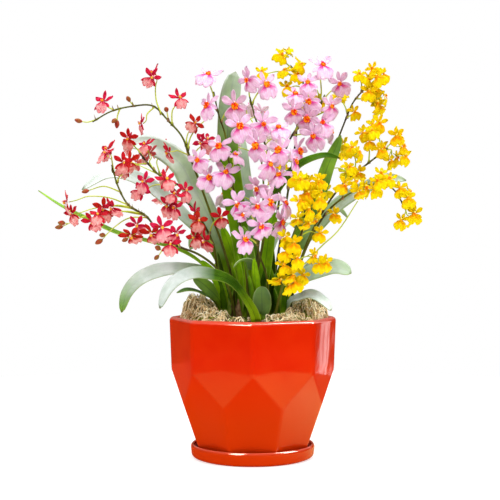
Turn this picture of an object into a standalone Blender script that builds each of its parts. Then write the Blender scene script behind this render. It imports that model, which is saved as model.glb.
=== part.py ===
"""Dancing lady orchids in a faceted ceramic pot on a saucer.

Three plants, red, pink and yellow, grow together in one glazed pot. Each plant has leafy
shoots and tall branched sprays of small blooms. The pot is filled with bark mix, and a ring
of dried moss is laid on the mix round the shoots.
Units are metres, +Z is up, and the origin is the middle of the saucer's underside.
"""

import math
import random

import bmesh
import bpy
from mathutils import Vector

MM = 0.001
GAP = 0.3 * MM  # between pieces that rest on or in one another

# The saucer is a turned dish.
SAUCER_RADIUS = 61.9 * MM
SAUCER_FOOT_RADIUS = 56.0 * MM
SAUCER_HEIGHT = 14.0 * MM
SAUCER_WALL = 3.2 * MM
SAUCER_FLOOR = 5.0 * MM
SAUCER_COVE = 3.5 * MM
SAUCER_LIP = 1.2 * MM
SAUCER_SIDES = 30

# The pot is an eight-sided cup: upright panels down to the waist, then pentagons and
# pointed facets down to a narrow foot. The knee is where the pointed facets end, with its
# corners in the planes of the pentagons.
POT_SIDES = 8
POT_FOOT_Z = SAUCER_FLOOR + GAP
POT_FOOT_RADIUS = 55.5 * MM
POT_KNEE_Z = 55.5 * MM
POT_WAIST_Z = 91.5 * MM
POT_WAIST_RADIUS = 82.2 * MM
POT_RIM_Z = 140.5 * MM
POT_RIM_RADIUS = 84.2 * MM
EIGHTH_COS = math.cos(math.pi / POT_SIDES)
POT_KNEE_SHARE = (POT_KNEE_Z - POT_FOOT_Z) / (POT_WAIST_Z - POT_FOOT_Z)
POT_KNEE_RADIUS = (
    POT_FOOT_RADIUS * (1 - POT_KNEE_SHARE) + POT_WAIST_RADIUS / EIGHTH_COS * POT_KNEE_SHARE
)
POT_WALL = 6.0 * MM
POT_EDGE = 2.2 * MM
DRAIN_RADIUS = 6.0 * MM
DRAIN_SIDES = 12

# The mix fills the cup, with a low flat dome where the plants stand.
MIX_INSET = 8.0 * MM
MIX_EDGE_Z = 130.0 * MM
MIX_TOP_Z = 136.0 * MM
MIX_TOP_RADIUS = 46.0 * MM
PLANTING_DEPTH = 16.0 * MM

# The moss ring lies between the shoots and the pot's wall.
MOSS_INNER_RADIUS = 44.0 * MM
MOSS_OUTER_APOTHEM = 70.3 * MM
MOSS_TURNS = 36
MOSS_SECTION = 8
MOSS_HEIGHT = 9.0 * MM
MOSS_SIDE_HEAP = 15.0 * MM
MOSS_FRONT_DIP = 4.0 * MM
MOSS_LUMPINESS = 0.35
MOSS_WAVES = ((5, 1.7, 0.30), (9, 3.1, 0.22), (14, 0.4, 0.20), (3, 5.0, 0.18))
MOSS_GAP = 0.5 * MM

# A place is drawn as it shows on the upright plane through the pot's middle, from an eye
# this far in front and this high, and then set back or forward to its depth.
EYE_DISTANCE = 1220.0 * MM
EYE_HEIGHT = 227.0 * MM

GOLDEN_ANGLE = math.radians(137.5)

# A shoot has a round foot in the mix, a pseudobulb and its leaves. The bulb's levels are
# shares of its height with half widths in millimetres.
SHOOT_FOOT_RADIUS = 6.0 * MM
SHOOT_FOOT_RISE = 5.0 * MM
SHOOT_FOOT_SIDES = 8
BULB_LEVELS = ((0.12, 6.4), (0.4, 7.4), (0.75, 4.6))
BULB_FLATNESS = 0.66
BULB_SIDES = 7

# A leaf is folded narrow at its foot, is full width from its middle on, and narrows to a
# point past its broadest place. Its path has this many steps, and its last ring of corners
# lies just short of the tip.
LEAF_STEPS = 66
LEAF_LAST_RING = 63
LEAF_FOOT_WIDTH = 0.34
LEAF_BROADEST = 0.62
LEAF_FOLD = 0.22
LEAF_RIB = 0.75 * MM

# Blooms: reach is from the middle to a lobe's end. Each lobe is its angle from upright and
# half the angle that its blunt end spans, in degrees, then its reach, how far its end comes
# forward, and the reach of the notch before it, as shares of the bloom's reach. The lip is
# the lobe that points down, or the two beside it.
PINK_LOBES = (
    (0, 13, 0.84, 0.10, 0.24),
    (58, 19, 0.92, 0.04, 0.34),
    (118, 12, 0.86, -0.12, 0.26),
    (180, 31, 1.0, 0.22, 0.38),
    (242, 12, 0.86, -0.12, 0.26),
    (302, 19, 0.92, 0.04, 0.34),
)
RED_LOBES = (
    (0, 14, 0.86, 0.12, 0.24),
    (62, 17, 0.94, 0.06, 0.32),
    (150, 22, 1.0, 0.16, 0.26),
    (210, 22, 1.0, 0.16, 0.66),
    (298, 17, 0.94, 0.06, 0.26),
)
YELLOW_LOBES = (
    (0, 16, 0.74, 0.12, 0.24),
    (62, 19, 0.82, 0.06, 0.34),
    (150, 24, 1.0, 0.18, 0.28),
    (210, 24, 1.0, 0.18, 0.72),
    (298, 19, 0.82, 0.06, 0.28),
)
BLOOMS = {
    "pink": {"reach": 13.0, "pedicel": 13.0, "spacing": 15.0, "lobes": PINK_LOBES},
    "red": {"reach": 9.4, "pedicel": 9.0, "spacing": 10.0, "lobes": RED_LOBES},
    "yellow": {"reach": 8.8, "pedicel": 8.5, "spacing": 9.0, "lobes": YELLOW_LOBES},
}
HEART_RISE = 0.17
BUD_LENGTH = 0.9  # a bud's length and half width, as shares of a bloom's reach
BUD_HALF_WIDTH = 0.27
BUD_PEDICEL = 0.7  # the share of a bloom's pedicel that a bud has
SMALLEST_BLOOM = 0.9
LARGEST_BLOOM = 1.08
FACE_LEAN = 0.4  # the least share of its stalk's direction in the way that a bloom looks
CLEAR_OF_OTHERS = 0.92  # the shares of their reach that blooms keep clear of each other
CLEAR_ON_SPRAY = 0.6
CANDIDATE_PLACES = 18
WORST_ROOM = -2.5 * MM
PLANT_MIDDLE_Z = 200.0 * MM  # blooms above it look up a little, and those below it down
PLANT_BACK_Y = 45.0 * MM

# A stem tapers to its top. A twig leaves it below the nearest point, at a share of its
# length, and bows out in the stem's direction.
STEM_RADIUS = 1.7 * MM
STEM_TAPER = 0.4
STEM_SIDES = 4
STEM_ROOM = 2.0 * MM
TWIG_RADIUS = 0.85 * MM
TWIG_ROOM = 1.5 * MM
TWIG_STEPS = 60
TWIG_LOWEST_STEP = 6
TWIG_START = 0.45
TWIG_BOW = 0.35
SHORT_TWIG = 38 * MM
PEDICEL_ROOT_RADIUS = 0.42 * MM

# Shoots: the foot on the mix (x, depth), the height of its pseudobulb or 0, and its leaves.
# A leaf is its width, the way its upper face looks, and the places that it passes
# (x, height, depth), all in millimetres.
SHOOTS = {
    "shoot_red_front": {
        "foot": (-27, -5),
        "bulb": 26,
        "leaves": [
            (14, (0, -1, 0.9), [(-31, 166, -8), (-42, 185, -14), (-64, 193, -22),
                                (-90, 192, -30), (-112, 184, -36), (-126, 169, -40),
                                (-132, 148, -42)]),
            (13, (-0.2, -1, 0.5), [(-33, 156, -12), (-46, 170, -16), (-60, 180, -18)]),
            (10, (-0.1, -1, 0.3), [(-29, 160, -12), (-36, 178, -18), (-52, 197, -20)]),
            (8, (0, -0.5, 1), [(-38, 157, -14), (-52, 166, -24), (-66, 169, -32),
                               (-77, 166, -37)]),
            (7, (0.4, -0.6, 1), [(-37, 170, -1), (-50, 192, -5), (-75, 208, -10),
                                 (-105, 216, -16), (-136, 224, -22), (-165, 238, -26),
                                 (-193, 252, -28), (-217, 268, -28)]),
        ],
    },
    "shoot_red_back": {
        "foot": (-24, 20),
        "bulb": 30,
        "leaves": [
            (23, (-0.5, -1, 0.6), [(-25, 190, 22), (-38, 232, 26), (-49, 258, 28),
                                   (-60, 277, 30), (-70, 297, 32), (-86, 311, 34),
                                   (-108, 320, 36), (-130, 318, 38)]),
            (14, (0, -1, 0.9), [(-30, 186, 26), (-48, 219, 34), (-66, 238, 42),
                                (-88, 259, 46), (-108, 274, 48), (-128, 282, 50),
                                (-148, 281, 50), (-173, 265, 50)]),
            (16, (0.4, -0.1, 0.9), [(-32, 186, 38), (-39, 212, 58), (-47, 224, 82),
                                    (-57, 220, 106), (-63, 206, 118)]),
        ],
    },
    "shoot_pink_tall": {
        "foot": (-10, 7),
        "bulb": 30,
        "leaves": [
            (22, (0.15, -1, 0.1), [(-10, 190, 12), (-14, 226, 16), (-20, 262, 18),
                                   (-25, 306, 18), (-24, 346, 18), (-20, 371, 18),
                                   (-16, 385, 18)]),
            (12, (-0.4, -1, 0.1), [(-14, 180, 12), (-22, 208, 16), (-31, 232, 18)]),
        ],
    },
    "shoot_pink_middle": {
        "foot": (7, -12),
        "bulb": 24,
        "leaves": [
            (13, (0.1, -1, 0.1), [(11, 180, -14), (14, 205, -18), (17, 225, -20),
                                  (23, 246, -22)]),
            (9, (0.1, 0.6, 0.8), [(0, 172, -18), (-1, 188, -24), (-4, 196, -32),
                                  (-12, 196, -42), (-20, 189, -50)]),
            (12, (-0.3, -1, 0.1), [(1, 176, -12), (-4, 206, -14), (-10, 232, -16)]),
        ],
    },
    "shoot_pink_back": {
        "foot": (3, 31),
        "bulb": 28,
        "leaves": [
            (17, (0.1, -1, 0.5), [(2, 190, 42), (-4, 240, 60), (-10, 285, 80),
                                  (-14, 318, 104), (-16, 330, 124)]),
            (15, (-0.2, -0.5, 0.9), [(8, 180, 46), (20, 218, 70), (34, 234, 98),
                                     (46, 226, 120)]),
            (15, (0.1, -0.5, 0.9), [(-2, 176, 48), (-8, 202, 74), (-14, 210, 100),
                                    (-20, 200, 120)]),
        ],
    },
    "shoot_yellow_tall": {
        "foot": (23, 3),
        "bulb": 28,
        "leaves": [
            (14, (0.2, -1, 0.5), [(25, 172, 0), (33, 194, -4), (48, 214, -6),
                                  (65, 232, -7), (80, 248, -8), (99, 262, -8),
                                  (118, 272, -8), (136, 279, -8), (156, 276, -8)]),
            (10, (-0.5, -1, 0.5), [(20, 190, -2), (16, 226, -6), (20, 256, -9),
                                   (27, 271, -12), (39, 285, -14), (51, 295, -16),
                                   (72, 302, -18), (90, 298, -20)]),
            (15, (0.2, -1, 0.1), [(29, 172, 6), (42, 208, 8), (56, 240, 10),
                                  (66, 264, 10), (75, 291, 10), (82, 307, 10),
                                  (89, 324, 10)]),
        ],
    },
    "shoot_yellow_front": {
        "foot": (28, -21),
        "bulb": 22,
        "leaves": [
            (17, (0, -1, 0.9), [(34, 166, -26), (45, 180, -32), (61, 189, -38),
                                (82, 194, -43), (100, 188, -47)]),
            (13, (0, -0.7, 1), [(38, 158, -30), (48, 166, -38), (60, 168, -44),
                                (72, 161, -48), (79, 152, -50)]),
        ],
    },
    "shoot_front": {
        "foot": (5, -33),
        "bulb": 0,
        "leaves": [
            (13, (-0.2, -1, 0.8), [(0, 155, -36), (-8, 168, -42), (-20, 178, -48),
                                   (-38, 185, -54), (-58, 188, -60), (-74, 182, -64),
                                   (-86, 170, -67), (-94, 151, -69)]),
            (18, (0.1, -1, 0), [(9, 146, -38), (9, 158, -41), (9, 171, -43)]),
        ],
    },
    "shoot_yellow_back": {
        "foot": (24, 26),
        "bulb": 26,
        "leaves": [
            (16, (-0.3, -0.5, 0.8), [(36, 186, 34), (51, 223, 52), (68, 244, 73),
                                     (84, 248, 96), (96, 238, 112)]),
            (14, (-0.4, -0.4, 0.8), [(42, 170, 34), (58, 190, 48), (72, 198, 64),
                                     (84, 188, 80)]),
        ],
    },
}

# Sprays: colour, the foot on the mix (x, depth), the places that the stem passes
# (x, height, depth), and its twigs: (x, height, depth) of the tip, blooms and buds.
SPRAYS = {
    "spray_red_arching": {
        "colour": "red",
        "foot": (-18, 9),
        "axis": [(-21, 178, 4), (-31, 214, 0), (-43, 246, -2), (-54, 277, -2),
                 (-62, 297, 0), (-68, 316, 2), (-78, 329, 4), (-88, 340, 5),
                 (-100, 351, 6), (-113, 350, 4), (-128, 350, 0), (-147, 343, -6),
                 (-160, 335, -10)],
        "twigs": [(-174, 334, -12, 0, 1), (-94, 382, 8, 2, 0), (-148, 356, -8, 1, 0),
                  (-122, 359, -2, 0, 1), (-133, 334, 2, 0, 2), (-107, 333, 8, 1, 0),
                  (-73, 357, 6, 1, 0), (-83, 348, -6, 0, 1), (-58, 331, 8, 1, 0),
                  (-44, 312, 2, 2, 0), (-40, 340, 10, 0, 1), (-85, 304, -6, 1, 0)],
        "seed": 11,
    },
    "spray_red_front": {
        "colour": "red",
        "foot": (-17, -17),
        "axis": [(-27, 176, -26), (-48, 199, -36), (-75, 211, -44), (-92, 222, -48),
                 (-103, 238, -50), (-120, 248, -52), (-131, 261, -52), (-137, 278, -50),
                 (-141, 292, -48)],
        "twigs": [(-141, 306, -46, 2, 0), (-96, 198, -54, 0, 2), (-128, 216, -58, 2, 1),
                  (-152, 214, -54, 0, 2), (-160, 234, -60, 2, 0), (-149, 248, -56, 2, 0),
                  (-178, 240, -50, 1, 0), (-192, 228, -46, 0, 2), (-184, 256, -48, 1, 0),
                  (-166, 266, -44, 0, 1), (-128, 282, -40, 2, 0), (-101, 224, -62, 2, 0),
                  (-72, 224, -62, 2, 0)],
        "seed": 12,
    },
    "spray_red_middle": {
        "colour": "red",
        "foot": (-36, 4),
        "axis": [(-36, 178, 2), (-37, 200, -4), (-41, 217, -12), (-48, 231, -15),
                 (-58, 246, -16), (-73, 262, -16), (-88, 277, -15), (-103, 291, -14),
                 (-113, 304, -14)],
        "twigs": [(-119, 314, -2, 2, 0), (-63, 264, -22, 2, 0), (-82, 250, -26, 2, 0),
                  (-111, 263, -22, 2, 0), (-84, 280, -16, 2, 0), (-122, 286, -14, 2, 0),
                  (-101, 298, 14, 2, 0), (-54, 243, -18, 2, 0), (-30, 240, -22, 1, 0),
                  (-46, 214, -34, 2, 0)],
        "seed": 13,
    },
    "spray_red_back": {
        "colour": "red",
        "foot": (-12, 30),
        "axis": [(-16, 186, 46), (-30, 222, 62), (-50, 250, 74), (-74, 272, 82),
                 (-100, 286, 86)],
        "twigs": [(-124, 296, 88, 1, 1), (-60, 284, 78, 2, 0), (-92, 258, 90, 2, 0),
                  (-92, 308, 80, 1, 0)],
        "seed": 14,
    },
    "spray_pink_left": {
        "colour": "pink",
        "foot": (-4, -4),
        "axis": [(-6, 180, -6), (-10, 216, -8), (-16, 252, -9), (-23, 290, -8),
                 (-27, 315, -6), (-28, 328, -4), (-34, 339, -2), (-34, 351, 0),
                 (-39, 365, 2)],
        "twigs": [(-47, 378, 2, 1, 0), (-47, 350, -6, 1, 0), (-56, 298, -16, 1, 0),
                  (-38, 311, -18, 1, 0), (-46, 274, -18, 1, 0), (-15, 352, -10, 1, 0),
                  (-13, 296, -22, 1, 0), (-28, 280, -26, 1, 0)],
        "seed": 21,
    },
    "spray_pink_middle": {
        "colour": "pink",
        "foot": (-2, -21),
        "axis": [(3, 176, -27), (9, 208, -32), (15, 241, -34), (19, 269, -34),
                 (20, 286, -32), (15, 306, -30), (7, 326, -26), (1, 344, -22),
                 (-3, 360, -18)],
        "twigs": [(-6, 374, -14, 1, 0), (14, 368, -16, 1, 0), (-16, 328, -34, 1, 0),
                  (10, 334, -42, 1, 0), (22, 330, -24, 1, 0), (-2, 312, -48, 1, 0),
                  (8, 290, -54, 1, 0), (32, 306, -40, 2, 0),
                  (-2, 268, -56, 1, 0), (30, 282, -44, 1, 0)],
        "seed": 22,
    },
    "spray_pink_right": {
        "colour": "pink",
        "foot": (13, 8),
        "axis": [(17, 186, 12), (22, 226, 16), (27, 261, 18), (31, 299, 20),
                 (39, 321, 20), (48, 331, 20), (60, 338, 20), (64, 350, 21),
                 (72, 362, 22)],
        "twigs": [(64, 388, 24, 1, 0), (54, 374, 18, 1, 0), (88, 372, 20, 1, 0),
                  (79, 344, 12, 1, 0), (36, 358, 12, 2, 0), (48, 336, -2, 2, 0),
                  (60, 316, 2, 2, 0), (48, 300, 4, 1, 0), (74, 322, 28, 1, 0)],
        "seed": 23,
    },
    "spray_pink_low": {
        "colour": "pink",
        "foot": (14, -28),
        "axis": [(15, 174, -30), (11, 190, -43), (6, 205, -57), (4, 222, -64),
                 (6, 240, -66)],
        "twigs": [(10, 258, -68, 2, 0), (-13, 219, -70, 1, 0), (13, 228, -76, 1, 0),
                  (28, 228, -62, 1, 0), (-16, 254, -66, 2, 0), (28, 256, -64, 1, 0)],
        "seed": 24,
    },
    "spray_pink_back": {
        "colour": "pink",
        "foot": (3, 19),
        "axis": [(4, 190, 30), (8, 230, 44), (11, 268, 58), (8, 302, 70),
                 (2, 330, 78)],
        "twigs": [(-6, 350, 80, 2, 0), (-20, 306, 70, 1, 0), (26, 318, 70, 2, 0),
                  (36, 282, 66, 1, 0), (-26, 262, 58, 1, 0)],
        "seed": 25,
    },
    "spray_yellow_top": {
        "colour": "yellow",
        "foot": (17, 19),
        "axis": [(23, 186, 28), (30, 231, 36), (37, 276, 40), (43, 316, 42),
                 (46, 346, 42), (51, 358, 42), (52, 370, 40), (46, 382, 38),
                 (38, 391, 36)],
        "twigs": [(10, 380, 28, 1, 0), (26, 397, 34, 3, 0), (40, 378, 28, 3, 0),
                  (34, 366, 30, 1, 0), (44, 354, 34, 2, 0), (64, 352, 40, 2, 0),
                  (28, 281, 26, 2, 0)],
        "seed": 31,
    },
    "spray_yellow_upper": {
        "colour": "yellow",
        "foot": (33, 10),
        "axis": [(40, 190, 22), (54, 231, 28), (68, 271, 30), (81, 306, 28),
                 (90, 329, 24), (95, 348, 18), (104, 359, 14), (110, 370, 10),
                 (118, 374, 6)],
        "twigs": [(103, 380, 4, 2, 0), (130, 382, 2, 3, 0), (119, 364, 2, 2, 0),
                  (120, 350, -2, 4, 0), (99, 340, 12, 1, 0), (82, 358, 26, 1, 0)],
        "seed": 32,
    },
    "spray_yellow_side": {
        "colour": "yellow",
        "foot": (36, -6),
        "axis": [(46, 190, -14), (62, 231, -22), (84, 266, -24), (104, 286, -22),
                 (114, 293, -20), (126, 298, -18), (135, 309, -16)],
        "twigs": [(143, 322, -14, 3, 0), (143, 304, -10, 3, 0), (124, 308, -20, 2, 0),
                  (108, 322, -14, 3, 0), (96, 308, -24, 2, 0), (92, 290, -30, 2, 0),
                  (118, 328, -6, 2, 0)],
        "seed": 33,
    },
    "spray_yellow_weeping": {
        "colour": "yellow",
        "foot": (36, -15),
        "axis": [(42, 172, -17), (53, 208, -26), (75, 246, -38), (98, 264, -42),
                 (123, 274, -38), (135, 272, -36), (145, 262, -34), (152, 250, -32)],
        "twigs": [(155, 240, -30, 3, 0), (154, 266, -34, 3, 0), (126, 284, -40, 3, 0),
                  (108, 270, -48, 3, 0), (88, 274, -50, 2, 0), (82, 241, -50, 1, 0)],
        "seed": 34,
    },
    "spray_yellow_front": {
        "colour": "yellow",
        "foot": (21, -34),
        "axis": [(31, 176, -54), (40, 200, -60), (48, 222, -64), (53, 246, -66),
                 (53, 264, -66)],
        "twigs": [(46, 278, -64, 3, 0), (62, 279, -60, 2, 0), (58, 266, -76, 3, 0),
                  (42, 256, -76, 2, 0), (65, 251, -68, 2, 0), (52, 240, -80, 2, 0),
                  (29, 221, -72, 2, 0), (32, 206, -74, 2, 0), (28, 192, -74, 2, 0),
                  (24, 180, -70, 2, 0), (38, 177, -70, 2, 0), (72, 197, -60, 3, 0),
                  (66, 224, -60, 1, 0)],
        "seed": 35,
    },
    "spray_yellow_back": {
        "colour": "yellow",
        "foot": (13, 37),
        "axis": [(29, 190, 62), (44, 231, 74), (60, 268, 82), (76, 296, 86)],
        "twigs": [(90, 314, 86, 2, 0), (46, 280, 84, 2, 0), (74, 262, 92, 2, 0),
                  (98, 284, 84, 2, 0)],
        "seed": 36,
    },
}


def seen(x, height, depth):
    """The point at this depth that shows at x and height, in millimetres, from the eye."""
    nearer = 1 + depth * MM / EYE_DISTANCE
    return Vector(
        (
            x * MM * nearer,
            depth * MM,
            EYE_HEIGHT + (height * MM - EYE_HEIGHT) * nearer,
        )
    )


def smooth_path(points, count):
    """Points evenly spaced along a smooth curve through the given ones."""
    ends = [2 * points[0] - points[1], *points, 2 * points[-1] - points[-2]]
    fine = []
    steps = 8
    for a, b, c, d in zip(ends, ends[1:], ends[2:], ends[3:]):
        for step in range(steps):
            t = step / steps
            fine.append(
                0.5
                * (
                    2 * b
                    + (c - a) * t
                    + (2 * a - 5 * b + 4 * c - d) * t**2
                    + (3 * b - a - 3 * c + d) * t**3
                )
            )
    fine.append(points[-1].copy())
    return even_path(fine, count)


def even_path(fine, count):
    """The same polyline with evenly spaced points."""
    along = [0.0]
    for a, b in zip(fine, fine[1:]):
        along.append(along[-1] + (b - a).length)
    spaced = []
    span = 0
    for i in range(count):
        target = along[-1] * i / (count - 1)
        while span < len(fine) - 2 and along[span + 1] < target:
            span += 1
        share = (target - along[span]) / max(along[span + 1] - along[span], 1e-9)
        spaced.append(fine[span].lerp(fine[span + 1], min(share, 1.0)))
    return spaced


def tangents(path):
    before = [path[0], *path[:-1]]
    after = [*path[1:], path[-1]]
    return [(b - a).normalized() for a, b in zip(before, after)]


def across(vector, direction):
    """The part of vector that is square to direction, at unit length."""
    flat = vector - direction * vector.dot(direction)
    if flat.length < 1e-4:
        flat = direction.orthogonal()
    return flat.normalized()


def foot_of(x, depth):
    return Vector((x * MM, depth * MM, MIX_TOP_Z))


def leaf_path(shoot, leaf):
    """Points along the middle of a leaf, from its foot to its tip."""
    _, _, places = leaf
    rank = shoot["leaves"].index(leaf)
    fanned = Vector((0.7 * rank - 0.9, 0.3, 2 + 0.6 * rank)) * MM
    start = foot_of(*shoot["foot"]) + fanned
    return smooth_path([start] + [seen(*place) for place in places], LEAF_STEPS + 1)


def leaf_half_width(width, share):
    """Half the width of a leaf at this share of its length."""
    unfolded = min(2 * share, 1.0) ** 0.9
    widening = LEAF_FOOT_WIDTH + (1 - LEAF_FOOT_WIDTH) * unfolded
    tip = max(0.0, (share - LEAF_BROADEST) / (1 - LEAF_BROADEST))
    return width * MM / 2 * widening * math.sqrt(max(0.0, 1 - tip**2.2))


def axis_path(spray):
    """The stem's way, from the ground up."""
    foot = foot_of(*spray["foot"])
    places = [foot, foot + Vector((0, 0, 5 * MM))]
    places += [seen(*place) for place in spray["axis"]]
    return smooth_path(places, 2 + len(spray["axis"]))


def twig_path(axis, tip):
    """A twig leaves the stem a little below the nearest point and bows out to its tip."""
    dense = even_path(axis, TWIG_STEPS)
    above_foot = range(TWIG_LOWEST_STEP + 2, TWIG_STEPS)
    nearest = min(above_foot, key=lambda i: (dense[i] - tip).length)
    length = (dense[nearest] - tip).length
    step = (dense[1] - dense[0]).length
    start = max(TWIG_LOWEST_STEP, nearest - round(TWIG_START * length / step))
    ahead = (dense[min(start + 1, TWIG_STEPS - 1)] - dense[start - 1]).normalized()
    root = dense[start]
    reach = (tip - root).length
    bow = root + ahead * TWIG_BOW * reach + (tip - root) * 0.25
    curve = []
    steps = 8
    for i in range(steps + 1):
        t = i / steps
        curve.append(root * (1 - t) ** 2 + bow * 2 * t * (1 - t) + tip * t**2)
    return even_path(curve, 3 if reach < SHORT_TWIG else 4)


def obstacles():
    """Balls along every leaf and stem: (centre, radius, owner)."""
    found = []
    for name, shoot in SHOOTS.items():
        for leaf in shoot["leaves"]:
            path = leaf_path(shoot, leaf)
            for i in range(0, LEAF_STEPS + 1, 3):
                radius = leaf_half_width(leaf[0], i / LEAF_STEPS) * 0.85 + 0.5 * MM
                found.append((path[i], radius, name))
    for name, spray in SPRAYS.items():
        axis = axis_path(spray)
        for point in even_path(axis, 40):
            found.append((point, STEM_ROOM, name))
        for twig in spray["twigs"]:
            for point in even_path(twig_path(axis, seen(*twig[:3])), 8):
                found.append((point, TWIG_ROOM, name))
    return found


def wanted_face(place):
    """Blooms look outward from the plant, and those that don't stand at its back look
    mostly to the front."""
    outward = Vector((place.x, place.y * 1.6, (place.z - PLANT_MIDDLE_Z) * 0.6))
    front = Vector((0, -0.75 if place.y < PLANT_BACK_Y else 0.35, 0))
    return outward.normalized() * 0.6 + front


def facing(place, along, draw):
    """The way that a bloom looks: the wanted one, leaning along its stalk, and chance."""
    chance = Vector([draw.uniform(-1, 1) for _ in range(3)])
    face = (wanted_face(place) + along * 0.45 + chance * 0.3).normalized()
    if face.dot(along) < FACE_LEAN:
        face = across(face, along) * math.sqrt(1 - FACE_LEAN**2) + along * FACE_LEAN
    return face


def room_at(place, reach, owner, taken, heads):
    """How far a bloom here stays clear of everything else, negative where it doesn't."""
    room = 1.0
    for point, radius, name in taken:
        if name != owner:
            room = min(room, (point - place).length - radius - reach * CLEAR_OF_OTHERS)
    for head in heads:
        apart = (head["place"] - place).length
        reaches = head["reach"] + reach
        if head["owner"] != owner:
            room = min(room, apart - reaches * CLEAR_OF_OTHERS)
        else:
            room = min(room, (apart - reaches * CLEAR_ON_SPRAY) * 0.8)
    return room


def places_round(base, along, turn, first, length):
    """The places that a head on this stretch of twig may take, and the way to each."""
    side = across(Vector((0, 0, 1)), along)
    other = along.cross(side)
    if first:
        yield base, along
    for j in range(CANDIDATE_PLACES):
        angle = turn + j * GOLDEN_ANGLE
        round_about = side * math.cos(angle) + other * math.sin(angle)
        if first:
            place = base + round_about * length * (0.3 if j % 2 == 0 else 0.6)
            yield place, (along * length + place - base).normalized()
        else:
            out = (along + round_about * 1.6).normalized()
            yield base + out * length * (1.0, 1.25, 1.5)[j % 3], out


def grow_spray(name, spray, taken, heads):
    """Adds the spray's blooms and buds, each at the roomiest of a few places."""
    kind = BLOOMS[spray["colour"]]
    draw = random.Random(spray["seed"])
    axis = axis_path(spray)
    spots = 30
    for *place_seen, blooms, buds in spray["twigs"]:
        path = twig_path(axis, seen(*place_seen))
        dense = even_path(path, spots)
        length = sum((b - a).length for a, b in zip(path, path[1:]))
        shapes = ["bud"] * buds + ["bloom"] * blooms
        spacing = min(kind["spacing"] * MM, 0.8 * length / len(shapes))
        turn = draw.uniform(0, math.tau)
        for i, shape in enumerate(shapes):
            spot = max(1, round((spots - 1) * (1 - i * spacing / length)))
            base = dense[spot]
            along = (base - dense[spot - 1]).normalized()
            size = draw.uniform(SMALLEST_BLOOM, LARGEST_BLOOM) * kind["reach"] * MM
            ball = size if shape == "bloom" else size * BUD_LENGTH / 2
            pedicel = kind["pedicel"] * MM * (1.0 if shape == "bloom" else BUD_PEDICEL)
            best = None
            for place, out in places_round(
                base, along, turn + i * GOLDEN_ANGLE, i == 0, pedicel
            ):
                room = room_at(place, ball, name, taken, heads)
                score = min(room, 0.6 * MM) + 0.5 * MM * out.dot(wanted_face(place))
                if best is None or score > best[0]:
                    best = (score, room, place, out)
            _, room, place, out = best
            face = facing(place, out, draw)
            roll = draw.uniform(-0.5, 0.5)
            if i > 0 and room < WORST_ROOM:
                continue
            if i == 0:
                path = [*path[:-1], place]
                dense = even_path(path, spots)
            heads.append(
                {
                    "owner": name,
                    "shape": shape,
                    "colour": spray["colour"],
                    "path": path if i == 0 else [base, place],
                    "root_radius": TWIG_RADIUS if i == 0 else PEDICEL_ROOT_RADIUS,
                    "place": place,
                    "stalk": out,
                    "face": face,
                    "size": size,
                    "reach": ball,
                    "roll": roll,
                }
            )


def all_heads():
    """Every bloom and bud of every spray."""
    taken = obstacles()
    heads = []
    for name, spray in SPRAYS.items():
        grow_spray(name, spray, taken, heads)
    return heads


def clear_scene():
    for obj in list(bpy.data.objects):
        bpy.data.objects.remove(obj, do_unlink=True)


def collection_named(name):
    found = bpy.data.collections.new(name)
    bpy.context.scene.collection.children.link(found)
    return found


def material(name, colour, roughness):
    made = bpy.data.materials.new(name)
    made.use_nodes = True
    shader = made.node_tree.nodes["Principled BSDF"]
    shader.inputs["Base Color"].default_value = (*colour, 1)
    shader.inputs["Roughness"].default_value = roughness
    shader.inputs["Metallic"].default_value = 0.0
    return made


def object_from(bm, name, finish, where):
    mesh = bpy.data.meshes.new(name)
    bm.to_mesh(mesh)
    bm.free()
    obj = bpy.data.objects.new(name, mesh)
    obj.data.materials.append(finish)
    where.objects.link(obj)
    return obj


def drawn_ball(sides, rings, pole, ring_point):
    """A ball with this many sides and rings, moved point by point: pole(end) gives the two
    ends and ring_point(ring, side) the rest, counted from the start of the shape."""
    bm = bmesh.new()
    bmesh.ops.create_uvsphere(bm, u_segments=sides, v_segments=rings + 1, radius=1)
    for vert in bm.verts:
        polar = math.acos(max(-1.0, min(1.0, -vert.co.z)))
        ring = round(polar * (rings + 1) / math.pi)
        if ring in (0, rings + 1):
            vert.co = pole(0 if ring == 0 else 1)
        else:
            turn = math.atan2(vert.co.y, vert.co.x)
            vert.co = ring_point(ring - 1, round(turn * sides / math.tau) % sides)
    return bm


def rod(path, radii, sides, tip=None):
    """A stem along a path, with a radius at each of its points, and a pointed tip."""
    heading = tangents(path)
    side = heading[0].orthogonal().normalized()
    frames = []
    for direction in heading:
        side = across(side, direction)
        frames.append((side, direction.cross(side)))

    def ring_point(ring, i):
        u, v = frames[ring]
        angle = math.tau * i / sides
        return path[ring] + (u * math.cos(angle) + v * math.sin(angle)) * radii[ring]

    ends = (path[0], tip or path[-1])
    return drawn_ball(sides, len(path), lambda end: ends[end], ring_point)


def leaf_mesh(path, width, face, rings):
    """A blade: thin edges, a thicker folded middle, and a point at its tip."""
    heading = tangents(path)

    def ring_point(ring, i):
        at = round(LEAF_LAST_RING * (ring + 1) / rings)
        upper = across(Vector(face), heading[at])
        side = upper.cross(heading[at])
        half = leaf_half_width(width, at / LEAF_STEPS)
        if i in (0, 2):
            fold = upper * half * LEAF_FOLD
            return path[at] + side * half * (1 if i == 0 else -1) + fold
        thick = LEAF_RIB * (1.5 - at / LEAF_STEPS)
        return path[at] + upper * (thick if i == 1 else -thick)

    return drawn_ball(4, rings, lambda end: path[0] if end == 0 else path[-1], ring_point)


def stalk_rings(path, spokes, radii):
    """Three points round each place of a stalk, carried back from its last spokes."""
    heading = tangents(path)
    rings = []
    for place, direction, radius in list(zip(path, heading, radii))[::-1]:
        spokes = [across(spoke, direction) for spoke in spokes]
        rings.append([place + spoke * radius for spoke in spokes])
    return rings[::-1]


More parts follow.
